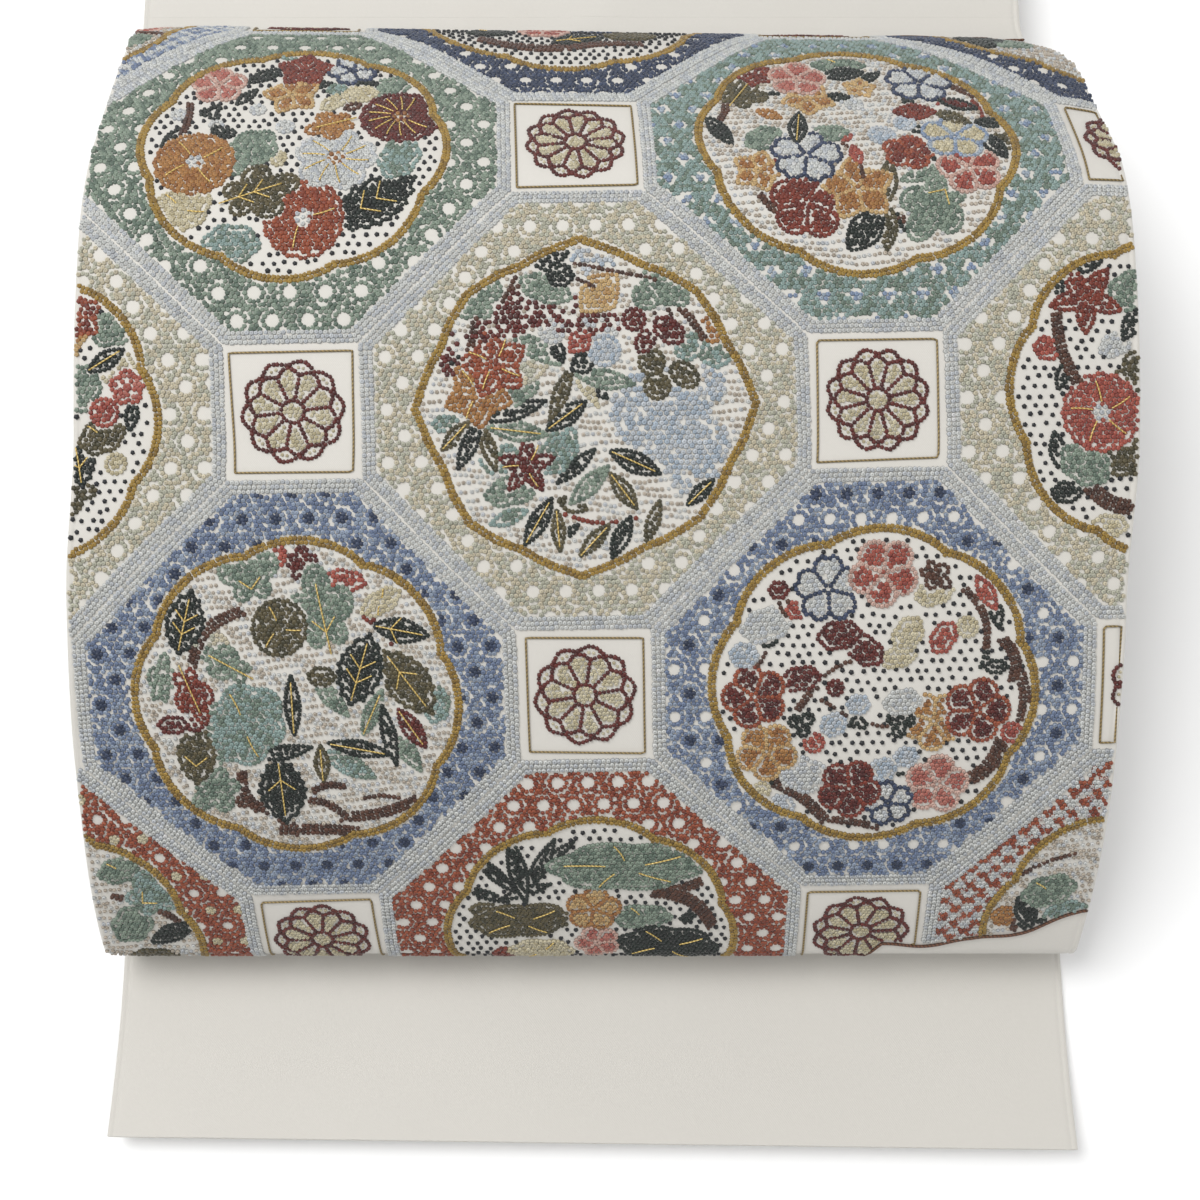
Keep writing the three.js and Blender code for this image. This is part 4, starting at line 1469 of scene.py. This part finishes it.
@dataclass
class Panel:
    """The embroidered panel over the drum: a lattice of octagons and squares.

    The lattice is worked a little off the cloth's grain, its rows and columns each turned
    about the point where the lowest row crosses the middle line.
    """

    course: Course
    pitch: float = 84.8           # between an octagon and the next square
    lowest: float = 498.0         # the lowest row's place along the band
    lean: float = 1.2             # degrees, of the rows
    column_lean: float = 2.1      # degrees, of the columns
    first: float = 477.0          # where the embroidery starts and ends along the band
    last: float = 849.0
    half_width: float = 154.2
    flat_side: float = 61.0       # from an octagon's centre to its straight side
    slant_side: float = 55.6      # and to its slanted side
    medallion: float = 47.5
    frame_half: float = 17.4      # of a square's couched frame
    outline_rows: tuple[float, ...] = (-0.6, 0.6)         # inwards from the medallion's line
    white_rows: tuple[float, ...] = (0.75, 2.1, 3.45)     # outwards from the coloured ground
    jitter: float = 0.08          # mm, of the knots in outline rows
    knots: Knots = field(default_factory=Knots)
    gold: list[Array] = field(default_factory=list)
    frames: list[Array] = field(default_factory=list)
    brown: list[Array] = field(default_factory=list)

    # ---- lattice ----

    def to_band(self, points: Array) -> Array:
        """Pattern coordinates as places across and along the band."""
        row, column = math.radians(self.lean), math.radians(self.column_lean)
        a, b = points[..., 0], points[..., 1]
        return np.stack([
            a * math.cos(row) - b * math.sin(column),
            self.lowest + a * math.sin(row) + b * math.cos(column),
        ], -1)

    def start_at(self, across: Array) -> Array:
        """Where the embroidery starts: it swings up in a wave towards the right edge."""
        rise = np.interp(across, (58, 82, 92, 120, 138, 155), (0, 3, 17, 19.5, 25, 33))
        return self.first + rise + 1.2 * np.sin(across / 4.5) * (across > 84)

    def covers(self, band: Array) -> Array:
        """Which places on the band are embroidered."""
        across, at = band[:, 0], band[:, 1]
        inside = np.abs(across) < self.half_width
        return inside & (at > self.start_at(across)) & (at < self.last + 1.2 * np.sin(across / 8))

    def lay(self) -> None:
        """Works every tile of the lattice, then the couched line round the panel's ends."""
        for column in range(-2, 3):
            for row in range(0, 5):
                rng = np.random.default_rng(SEED + 31 * column + 7 * row)
                middle = np.array([column, row]) * self.pitch
                if (column, row) in OCTAGONS:
                    self.octagon(middle, OCTAGONS[(column, row)], rng)
                else:
                    self.square(middle, PETALS[(column, row)], rng)
        across = np.linspace(-self.half_width, self.half_width, 200)
        start = np.stack([across, self.start_at(across) - 0.9], 1)
        end = np.stack([across, self.last + 1.0 + 1.2 * np.sin(across / 8)], 1)
        self.brown += [start, end]

    # ---- octagons ----

    def octagon_line(self, out: float) -> Array:
        """The octagon's corners, moved out from its coloured ground."""
        flat = self.flat_side + out
        short = (self.slant_side + out) * math.sqrt(2) - flat
        return np.array([
            (flat, -short), (flat, short), (short, flat), (-short, flat),
            (-flat, short), (-flat, -short), (-short, -flat), (short, -flat),
        ])

    def in_octagon(self, points: Array, grow: float) -> Array:
        """Which points lie on the coloured ground grown by grow."""
        size = np.abs(points)
        flat = size.max(1) < self.flat_side + grow
        return flat & (size.sum(1) < (self.slant_side + grow) * math.sqrt(2))

    def medallion_reach(self, angle: Array, plan: Octagon) -> Array:
        """The medallion's radius: eight round lobes, or a cusp up, down and to each side.

        Between its cusps the cusped one dips a little on both sides of a low corner.
        """
        if not plan.cusped:
            return plan.size * (self.medallion - 1.2 + 2.8 * np.abs(np.cos(4 * angle + 0.35)) ** 0.7)
        quarter = np.abs((angle + np.pi / 4) % (np.pi / 2) - np.pi / 4)
        eighth = np.abs(angle % (np.pi / 2) - np.pi / 4)
        dip = np.exp(-(((quarter - 0.40) / 0.11) ** 2))
        return plan.size * (
            self.medallion + 4.6 * np.exp(-quarter / 0.22) + 2.0 * np.exp(-eighth / 0.16) - 0.9 * dip
        )

    def octagon(self, middle: Array, plan: Octagon, rng: np.random.Generator) -> None:
        """Works one octagon: motifs first, then what lies round them.

        Args:
            middle: the octagon's centre in pattern coordinates.
            plan: its threads and motifs.
            rng: the tile's random numbers.
        """
        claims = Claims()

        def ring(points: Array, grow: float) -> Array:
            angle = np.arctan2(points[:, 1], points[:, 0])
            return np.hypot(*points.T) < self.medallion_reach(angle, plan) + grow

        def work(group: str, points: Array, thread: Thread, radius: float = KNOT_RADIUS) -> None:
            self.knots.add(group, middle + points, thread, rng, radius)

        for motif in plan.motifs:
            self.motif(motif, middle, claims, ring, work, rng)
        angle = np.linspace(0, 2 * np.pi, 720, endpoint=False)
        outline = np.stack([np.cos(angle), np.sin(angle)], 1)
        outline *= self.medallion_reach(angle, plan)[:, None]
        for inset in self.outline_rows:
            line = spaced(drawn_in(outline, inset), PITCH * 0.95, True)
            work("gold_outline_knots", line + rng.normal(0, self.jitter, line.shape), Thread.GOLD)
        self.field(plan.field, claims, ring, work, rng)
        self.ground(plan, ring, work, rng)
        for out in self.white_rows:
            line = spaced(self.octagon_line(out), PITCH * 0.97, True)
            work("white_outline_knots", line + rng.normal(0, self.jitter, line.shape), Thread.WHITE)

    def motif(
        self, motif: Motif | Branch | Drift, middle: Array, claims: Claims,
        ring: Ring, work: Work, rng: np.random.Generator,
    ) -> None:
        """Works one motif where no earlier one lies.

        Args:
            motif: the flower, leaf, stem or drift.
            middle: the octagon's centre in pattern coordinates.
            claims: the places taken so far.
            ring: which points lie in the medallion.
            work: works knots in the octagon.
            rng: the tile's random numbers.
        """
        def keep(points: Array) -> Array:
            return points[claims.free(points) & ring(points, -1.6)]

        if isinstance(motif, Branch):
            self.stem(motif, claims, keep, work, rng)
        elif isinstance(motif, Drift):
            self.drift(motif, claims, keep, work, rng)
        else:
            self.bloom(motif, middle, claims, keep, ring, work, rng)

    @staticmethod
    def stem(
        branch: Branch, claims: Claims, keep: Test, work: Work, rng: np.random.Generator
    ) -> None:
        """Works a stem's rows of knots."""
        for line in branch.lines():
            line = keep(spaced(line, PITCH))
            work("motif_knots", line + rng.normal(0, 0.1, line.shape), branch.thread)
            if len(line):
                claims.round(line, NEAR)

    @staticmethod
    def drift(
        seeds: Drift, claims: Claims, keep: Test, work: Work, rng: np.random.Generator
    ) -> None:
        """Works a share of a loose net of knots inside the drift's oval."""
        patch = Motif(
            Form.DISC, seeds.across, seeds.up, seeds.size, seeds.thread, seeds.turn, seeds.slim
        )
        points = patch.spot(1.0, np.linspace(0, 2 * np.pi, 24))
        filling = net(points.min(0), points.max(0), 1.6, rng)
        filling = keep(filling[patch.holds(filling) & (rng.random(len(filling)) < seeds.share)])
        work("motif_knots", filling, seeds.thread, 0.95)
        if len(filling):
            claims.round(filling, 1.1)

    def bloom(
        self, motif: Motif, middle: Array, claims: Claims, keep: Test,
        ring: Ring, work: Work, rng: np.random.Generator,
    ) -> None:
        """Works a flower, leaf or patch: its edge, its inner lines, its filling and its veins."""
        group = "motif_knots"
        outline = motif.outline()
        edge = keep(spaced(drawn_in(outline, 0.6), PITCH, True))
        work(group, edge, motif.edge or motif.thread)
        marks = [edge]
        for line in motif.petal_lines():
            line = keep(spaced(line, PITCH))
            work(group, line, motif.edge)
            marks.append(line)
        if motif.heart is not None:
            share = max(0.2, 1.6 / motif.size)
            angle = np.linspace(0, 2 * np.pi, 7)[:-1]
            round_it = motif.spot(share * 0.8, angle)
            heart = keep(np.concatenate([motif.spot(0.0, np.zeros(1)), round_it]))
            work(group, heart, motif.heart)
            marks.append(heart)
        drawn = Claims()
        for mark in marks:
            if len(mark):
                drawn.round(mark, NEAR)
        filling = net(outline.min(0), outline.max(0), PITCH, rng)
        filling = filling[motif.holds(filling, -0.5 / motif.slim) & drawn.free(filling)]
        work(group, keep(filling), motif.thread)
        if motif.veins:
            for line in motif.ribs():
                free = claims.free(line) & ring(line, -2.5)
                if free.all():
                    self.gold.append(middle + line)
        claims.where(outline.min(0) - 1, outline.max(0) + 1, lambda points: motif.holds(points, 0.45))

    @staticmethod
    def field(
        kind: Field, claims: Claims, ring: Ring, work: Work, rng: np.random.Generator
    ) -> None:
        """Works the medallion's ground: black dots on bare cloth, wavy rows, or close knots."""
        if kind is Field.DOTS:
            points = net((-52, -52), (52, 52), 3.15, rng)
            points = points[ring(points, -2.2) & claims.free(points)]
            work("black_dot_knots", points, Thread.BLACK, 0.86)
            return
        rise = 2.2 if kind is Field.WAVES else 1.75
        a, row = np.meshgrid(np.arange(-52, 52, 1.5), np.arange(-30, 31))
        b = row * rise + 0.5 * np.sin(a / 3.1 + row * 1.3)
        points = np.stack([(a + 0.75 * (row % 2)).ravel(), b.ravel()], 1)
        points += rng.normal(0, 0.14, points.shape)
        points = points[ring(points, -1.7) & claims.free(points)]
        pale = rng.random(len(points)) < 0.35
        work("ground_knots", points[~pale], Thread.SHELL, 0.74)
        work("ground_knots", points[pale], Thread.WHITE, 0.74)

    @staticmethod
    def spots(spacing: float) -> tuple[Array, Array]:
        """Centres of the ground's spots on a staggered net, and each one's row."""
        a, row = np.meshgrid(np.arange(-8, 9), np.arange(-10, 11))
        places = np.stack([(a + (row % 2) / 2).ravel(), 0.8 * row.ravel()], 1) * spacing
        return places[np.abs(places).max(1) < 66], row.ravel()[np.abs(places).max(1) < 66]

    def ground(self, plan: Octagon, ring: Ring, work: Work, rng: np.random.Generator) -> None:
        """Works the octagon's ground round the medallion, with its spots, fret or lattice.

        A round of knots edges each spot, and the net between keeps off the rounds.
        """
        group = "ground_knots"

        def inside(points: Array) -> Array:
            return self.in_octagon(points, -0.1) & ~ring(points, 1.5)

        points = net((-62, -62), (62, 62), PITCH, rng)
        points = points[inside(points)]
        if plan.spots is Spots.LATTICE:
            slants = [
                np.abs((points @ way) % plan.spacing - plan.spacing / 2) for way in ((1, 1.1), (1, -1.1))
            ]
            slant = np.minimum(*slants)
            work(group, points[slant < 1.15], plan.thread)
            work(group, points[np.maximum(*slants) > plan.spacing / 2 - 1.3], Thread.WHITE)
            return
        spots, row = self.spots(plan.spacing)
        if plan.spots is Spots.FRET:
            away = np.abs(points[:, None, :] - spots[None, :, :])
            slant = (away[..., 0] + 1.15 * away[..., 1]).min(1)
            work(group, points[slant < 1.9], Thread.SKY)
            work(group, points[slant > 3.0], plan.thread)
            return
        count = round(2 * np.pi * (plan.spot + 0.75) / 1.4)
        angle = np.linspace(0, 2 * np.pi, count + 1)[:-1]
        circle = np.stack([np.cos(angle), np.sin(angle)], 1) * (plan.spot + 0.75)
        edges = (spots[:, None, :] + circle[None, :, :]).reshape(-1, 2)
        edges = edges[inside(edges)]
        work(group, edges + rng.normal(0, 0.06, edges.shape), plan.thread)
        away = np.hypot(*np.moveaxis(points[:, None, :] - spots[None, :, :], -1, 0)).min(1)
        work(group, points[away > plan.spot + 1.75], plan.thread)
        if plan.spots is Spots.BARE:
            return
        other = Thread.NAVY if plan.thread is Thread.BLUE else Thread.CREAM
        filled = spots[(row % 2 == 0) | (plan.spots is Spots.NAVY)]
        angle = np.arange(5) * 2 * np.pi / 5
        floret = np.concatenate([np.zeros((1, 2)), np.stack([np.cos(angle), np.sin(angle)], 1) * 1.15])
        filling = (filled[:, None, :] + floret[None, :, :]).reshape(-1, 2)
        work(group, filling[inside(filling)], other)

    # ---- squares ----

    def square(self, middle: Array, petals: int, rng: np.random.Generator) -> None:
        """Works one square: a couched frame round a rosette.

        The rosette is a disc, a ring, long petals between radial lines, and an outer
        scalloped line whose bulges between the petals each hold a small floret.

        Args:
            middle: the square's centre in pattern coordinates.
            petals: how many petals the rosette has.
            rng: the tile's random numbers.
        """
        half = self.frame_half
        corners = np.array([(-half, -half), (half, -half), (half, half), (-half, half), (-half, -half)])
        corners = corners + rng.normal(0, 0.35, corners.shape)
        corners[-1] = corners[0]
        self.frames.append(middle + spaced(corners, 1.5))
        red, cream = "rosette_outline_knots", "rosette_petal_knots"
        turn = rng.uniform(0, 2 * np.pi)

        def polar(radius: Array | float, angle: Array | float) -> Array:
            return np.stack(np.broadcast_arrays(radius * np.cos(angle), radius * np.sin(angle)), -1)

        angle = np.linspace(0, 2 * np.pi, 360, endpoint=False)
        bulge = np.abs(np.sin(petals * (angle - turn) / 2))
        lines = [
            polar(3.3, angle),
            polar(12.5 - 1.6 * bulge ** 3, angle),
            polar(13.3 + 1.5 * bulge ** 1.5, angle),
        ]
        marks = []
        for line in lines:
            line = spaced(line, 1.22, True)
            line += rng.normal(0, 0.07, line.shape)
            self.knots.add(red, middle + line, Thread.DARK_RED, rng, 0.82)
            marks.append(line)
        for petal in range(petals):
            way = turn + (petal + 0.5) * 2 * np.pi / petals
            line = spaced(polar(np.linspace(4.4, 10.8, 12), way), 1.22)
            self.knots.add(red, middle + line, Thread.DARK_RED, rng, 0.8)
            marks.append(line)
            floret = polar(12.9, way + np.array([-0.055, 0.055]))
            self.knots.add(cream, middle + floret, Thread.CREAM, rng, 0.6)
        claims = Claims()
        claims.round(np.concatenate(marks), 1.0)
        filling = net((-12, -12), (12, 12), 1.24, rng)
        radius = np.hypot(*filling.T)
        filling = filling[claims.free(filling) & (radius < 11.8)]
        self.knots.add(cream, middle + filling, Thread.CREAM, rng, 0.76)


class KnotMesh:
    """Turns knots into joined beads: a rim, a raised ring and a dimple, with painted shade darkening the
    rim and the dimple.
    """

    SIDES = 5
    LARGEST = 13000               # knots in one piece
    HEIGHT = 0.85                 # of the ring, as a share of the radius
    RING = 0.60
    # Painted shade: the rim and the dimple are darkened as if in shade, so the ring between them reads as
    # lit; the ring's factor also dims the thread colour overall.
    PAINTED_SHADE = (0.22, 0.78, 0.26)   # of the rim, the ring and the dimple

    def __init__(self, panel: Panel, finish: bpy.types.Material) -> None:
        """Keeps the panel and the knots' material."""
        self.panel, self.finish = panel, finish

    def build(self) -> list[bpy.types.Object]:
        """One piece for each group of knots, split where it would be too large."""
        made = []
        for group, parts in self.panel.knots.groups.items():
            band = self.panel.to_band(np.concatenate([p[0] for p in parts]))
            size = np.concatenate([p[1] for p in parts])
            colour = np.concatenate([p[2] for p in parts])
            kept = self.panel.covers(band)
            band, size, colour = band[kept], size[kept], colour[kept]
            order = np.argsort(band[:, 1], kind="stable")
            pieces = max(1, math.ceil(len(order) / self.LARGEST))
            for number, chosen in enumerate(np.array_split(order, pieces)):
                name = group if pieces == 1 else f"{group}_{number + 1}"
                made.append(self.beads(name, band[chosen], size[chosen], colour[chosen]))
                LOG.info("%s: %d knots", name, len(chosen))
        return made

    def beads(self, name: str, band: Array, size: Array, colour: Array) -> bpy.types.Object:
        """Joined beads at these places.

        Each has a rim on the cloth, a ring above it at RING of its radius and a dimple point
        at two thirds of the ring's height, turned by a random angle.

        Args:
            name: the piece's name.
            band: places across and along the band, in mm.
            size: each bead's radius.
            colour: each bead's colour.

        Returns:
            The piece.
        """
        rng = np.random.default_rng(SEED + len(band))
        sides = self.SIDES
        angle = rng.uniform(0, 2 * np.pi, len(band))[:, None] + np.arange(sides) * 2 * np.pi / sides
        height = size * self.HEIGHT * rng.uniform(0.9, 1.1, len(band))
        root = self.panel.course.place(band[:, 0], band[:, 1], 0.0)
        across, along, out = self.panel.course.axes(band[:, 1])
        circle = (
            np.cos(angle)[..., None] * across[:, None, :] + np.sin(angle)[..., None] * along[:, None, :]
        ) * (MM * size)[:, None, None]
        rise = (MM * height)[:, None] * out
        rim = root[:, None, :] + circle - (0.1 * MM) * out[:, None, :]
        ring = root[:, None, :] + circle * self.RING + rise[:, None, :]
        dimple = root[:, None, :] + rise[:, None, :] * 0.62
        points = np.concatenate([rim, ring, dimple], axis=1)
        count = 2 * sides + 1
        base = (np.arange(len(band)) * count)[:, None]
        turn = np.arange(sides)
        after = (turn + 1) % sides
        walls = np.stack([turn, after, after + sides, turn + sides], 1)
        caps = np.stack([turn + sides, after + sides, np.full(sides, 2 * sides)], 1)
        quads = (base[:, :, None] + walls[None]).reshape(-1, 4)
        triangles = (base[:, :, None] + caps[None]).reshape(-1, 3)
        # Painted shade: each knot's colour is darkened at its rim and its dimple.
        painted_shade = np.repeat(self.PAINTED_SHADE, (sides, sides, 1))
        colours = np.clip(colour[:, None, :] * painted_shade[None, :, None], 0, 1).reshape(-1, 3)
        return make_piece(
            name, points.reshape(-1, 3), (quads, triangles), (self.finish,), colours=colours
        )


@dataclass
class Cords:
    """Couched threads: thin cords laid on the embroidery or on the cloth."""

    panel: Panel
    sides: int = 5

    def build(
        self, name: str, lines: Iterable[Array], radius: float, lift: float,
        material: bpy.types.Material, on_band: bool = False,
    ) -> bpy.types.Object:
        """Tubes along lines, all in one piece.

        Each ring stands square to its line, with one axis out of the cloth, and a tip point
        closes each end.

        Args:
            name: the piece's name.
            lines: points of each cord, in pattern or band coordinates.
            radius: the cord's radius in mm.
            lift: the height of its middle above the cloth in mm.
            material: its material.
            on_band: whether the lines are in band coordinates.

        Returns:
            The piece.
        """
        points, uvs, quads, tips, base = [], [], [], [], 0
        for line in lines:
            band = line if on_band else self.panel.to_band(line)
            if not on_band:
                band = band[self.panel.covers(band)]
                if len(band) < 3:
                    continue
            rings, ends, far = self.rings(band, radius, lift)
            rows, end = len(rings), base + (len(rings) - 1) * self.sides
            here = np.arange(self.sides)
            after = (here + 1) % self.sides
            i, j = np.meshgrid(np.arange(rows - 1), here, indexing="ij")
            a = base + (i * self.sides + j).ravel()
            b = base + (i * self.sides + (j + 1) % self.sides).ravel()
            quads.append(np.stack([a, a + self.sides, b + self.sides, b], 1))
            first = np.full(self.sides, end + self.sides)
            tips.append(np.stack([base + here, base + after, first], 1))
            tips.append(np.stack([end + after, end + here, first + 1], 1))
            points.append(np.concatenate([rings.reshape(-1, 3), ends]))
            round_it = np.broadcast_to(here / self.sides, (rows, self.sides))
            coordinates = np.stack([np.repeat(far, self.sides), round_it.ravel()], 1)
            uvs.append(np.concatenate([coordinates, [[0, 0], [far[-1], 0]]]))
            base += rows * self.sides + 2
        return make_piece(
            name, np.concatenate(points), (np.concatenate(quads), np.concatenate(tips)),
            (material,), np.concatenate(uvs),
        )

    def rings(self, band: Array, radius: float, lift: float) -> tuple[Array, Array, Array]:
        """One cord's rings, its two tip points, and the run of its middle line."""
        middle = self.panel.course.place(band[:, 0], band[:, 1], lift)
        run = np.gradient(middle, axis=0)
        run /= np.maximum(np.linalg.norm(run, axis=1, keepdims=True), 1e-12)
        out = self.panel.course.axes(band[:, 1])[2]
        side = np.cross(run, out)
        side /= np.maximum(np.linalg.norm(side, axis=1, keepdims=True), 1e-12)
        turn = (np.arange(self.sides) * 2 * np.pi / self.sides)[None, :, None]
        circle = np.cos(turn) * side[:, None, :] + np.sin(turn) * out[:, None, :]
        ends = np.stack([middle[0] - run[0] * radius * MM, middle[-1] + run[-1] * radius * MM])
        steps = np.linalg.norm(np.diff(middle, axis=0), axis=1)
        far = np.concatenate([[0.0], np.cumsum(steps)])
        return middle[:, None, :] + radius * MM * circle, ends, far


# ---------------------------------------------------------------- the studio


@dataclass
class Studio:
    """A pale floor, soft lights and the camera over the tail end."""

    camera_height: float = 512.3  # mm above the table
    camera_behind: float = 26.7   # mm behind the place where the tail goes under the drum
    tilt: float = 10.4            # degrees from looking straight down
    lens: float = 45.0

    def build(self, course: Course) -> None:
        """Makes the floor, the lights and the camera."""
        self._floor()
        y, _, _ = course.line(np.array([course.starts[1]]))
        table_y = MM * (y[0] + course.offset[1] + self.camera_behind)
        camera = bpy.data.objects.new("camera", bpy.data.cameras.new("camera"))
        camera.data.lens = self.lens
        camera.data.sensor_width = 36.0
        camera.data.clip_start = 0.01
        camera.location = (MM * course.offset[0], table_y, MM * self.camera_height)
        camera.rotation_euler = (math.radians(self.tilt), 0, 0)
        bpy.context.scene.collection.objects.link(camera)
        bpy.context.scene.camera = camera
        self._light("key", (-0.6, 0.25, 1.35), 0.8, 17.0)
        self._light("fill", (0.9, -0.9, 1.2), 1.4, 6.0)
        self._light("back", (0.2, 1.6, 0.9), 1.2, 2.0)

    @staticmethod
    def _floor() -> None:
        """A wide pale floor with a faint unevenness."""
        corners = np.array([(-4, -4, 0), (4, -4, 0), (4, 4, 0), (-4, 4, 0)], float)
        dye = Dye("floor")
        place = dye.node("ShaderNodeTexCoord").outputs["Object"]
        noise = dye.node("ShaderNodeTexNoise", sockets={"Vector": place, "Scale": 3.0})
        pale, paler = (0.95, 0.95, 0.95, 1), (0.97, 0.97, 0.97, 1)
        dye.set(Base_Color=dye.mix(noise.outputs[0], pale, paler), Roughness=0.9)
        floor = make_piece("floor", corners, (np.array([[0, 1, 2, 3]]),), (dye.material,))
        world = bpy.data.worlds.new("studio")
        world.use_nodes = True
        world.node_tree.nodes["Background"].inputs[0].default_value = (1, 1, 1, 1)
        world.node_tree.nodes["Background"].inputs[1].default_value = 0.5
        bpy.context.scene.world = world
        bpy.context.scene.view_settings.view_transform = "Standard"

    @staticmethod
    def _light(name: str, place: Sequence[float], size: float, watts: float) -> None:
        """A square soft light that faces the sash's middle."""
        light = bpy.data.objects.new(name, bpy.data.lights.new(name, "AREA"))
        light.data.size = size
        light.data.energy = watts
        light.location = place
        aim = -np.array(place) + np.array((0, -0.15, 0.05))
        light.rotation_euler = aim_euler(aim)
        bpy.context.scene.collection.objects.link(light)


def aim_euler(direction: Array) -> tuple[float, float, float]:
    """The turn that points a light's -Z along a direction."""
    x, y, z = direction / np.linalg.norm(direction)
    return math.acos(-z), 0.0, math.atan2(-x, y)


# ---------------------------------------------------------------- the whole sash


# The distance between each stretch's stations, in mm.
STATION_PITCH = {"tail": 3.0, "under_run": 12.0, "turn_under": 8.0, "drum_front": 3.4,
                 "drum_rear": 3.2, "band_run": 8.0}


class Sash:
    """The whole sash, built piece by piece."""

    def __init__(self) -> None:
        """Lays the course and mixes the finishes."""
        self.course = Course()
        self.face = TwillFinish("ivory_twill", (0.85, 0.836, 0.806)).material()
        self.backing = TwillFinish("plain_backing", (0.84, 0.82, 0.77), 0.8, 0.05, 0.7, 0.2).material()
        self.knot = KnotFinish("knotted_silk").material()
        self.gold = CordFinish("gold_cord", (0.90, 0.80, 0.50), (0.62, 0.50, 0.26)).material()
        self.old_gold = CordFinish("old_gold_cord", (0.62, 0.54, 0.36), (0.38, 0.32, 0.2)).material()
        self.brown = CordFinish("brown_cord", (0.42, 0.27, 0.19), (0.25, 0.16, 0.11), 0.0, 0.6).material()

    def finish_piece(self, piece: bpy.types.Object, slot: str, *nodes: str) -> bpy.types.Object:
        """Rides a piece on the sash's body and hides the parts that it replaces."""
        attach(piece, "root")
        if nodes:
            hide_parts(*nodes)
        LOG.info("%s: %d faces", piece.name, len(piece.data.polygons))
        return piece

    def flat(self, name: str) -> tuple[float, float]:
        """A stretch's flat size in metres."""
        start, end = self.course.span(name)
        return BAND_WIDTH * MM, (end - start) * MM

    def cloth(self) -> dict[str, bpy.types.Object]:
        """The face cloth and the backing of each stretch. Returns the face cloths by name."""
        maker = Cloth(self.course)
        made: dict[str, bpy.types.Object] = {}
        for name, pitch in STATION_PITCH.items():
            stations = self.course.stations(name, pitch)
            face = maker.sheet(f"{name}_face", stations, 60, 0.0, PLY, (self.face,))
            self.finish_piece(face, "face_cloth", f"{name}_cloth")
            back = maker.sheet(f"{name}_lining", stations, 30, PLY + PLY_GAP, WALL, (self.backing,))
            self.finish_piece(back, "backing_cloth", f"{name}_backing")
            made[name] = face
            self.flat(name)
        return made

    def build(self) -> None:
        """Builds everything on the sash."""
        sheets = self.cloth()
        pile = Pile(self.course)
        band = self.finish_piece(pile.build(self.face, self.backing), "folded_cloth", "folded_layers")
        panel = Panel(self.course)
        panel.lay()
        stitched = [
            self.finish_piece(piece, "face_cloth") for piece in KnotMesh(panel, self.knot).build()
        ]
        cords = Cords(panel)
        couched = (
            ("gold_vein_cords", panel.gold, 0.24, 0.72, self.gold, False),
            ("square_frame_cords", panel.frames, 0.32, 0.3, self.old_gold, False),
            ("end_line_cords", panel.brown, 0.5, 0.4, self.brown, True),
        )
        stitched += [self.finish_piece(cords.build(*facts), "face_cloth") for facts in couched]
        for name in STATION_PITCH:
            self.flat(name)


def main() -> None:
    """Builds the sash and its studio."""
    logging.basicConfig(level=logging.INFO, format="%(message)s")
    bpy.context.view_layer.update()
    sash = Sash()
    Studio().build(sash.course)
    sash.build()
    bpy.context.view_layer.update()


if __name__ == "__main__":
    main()
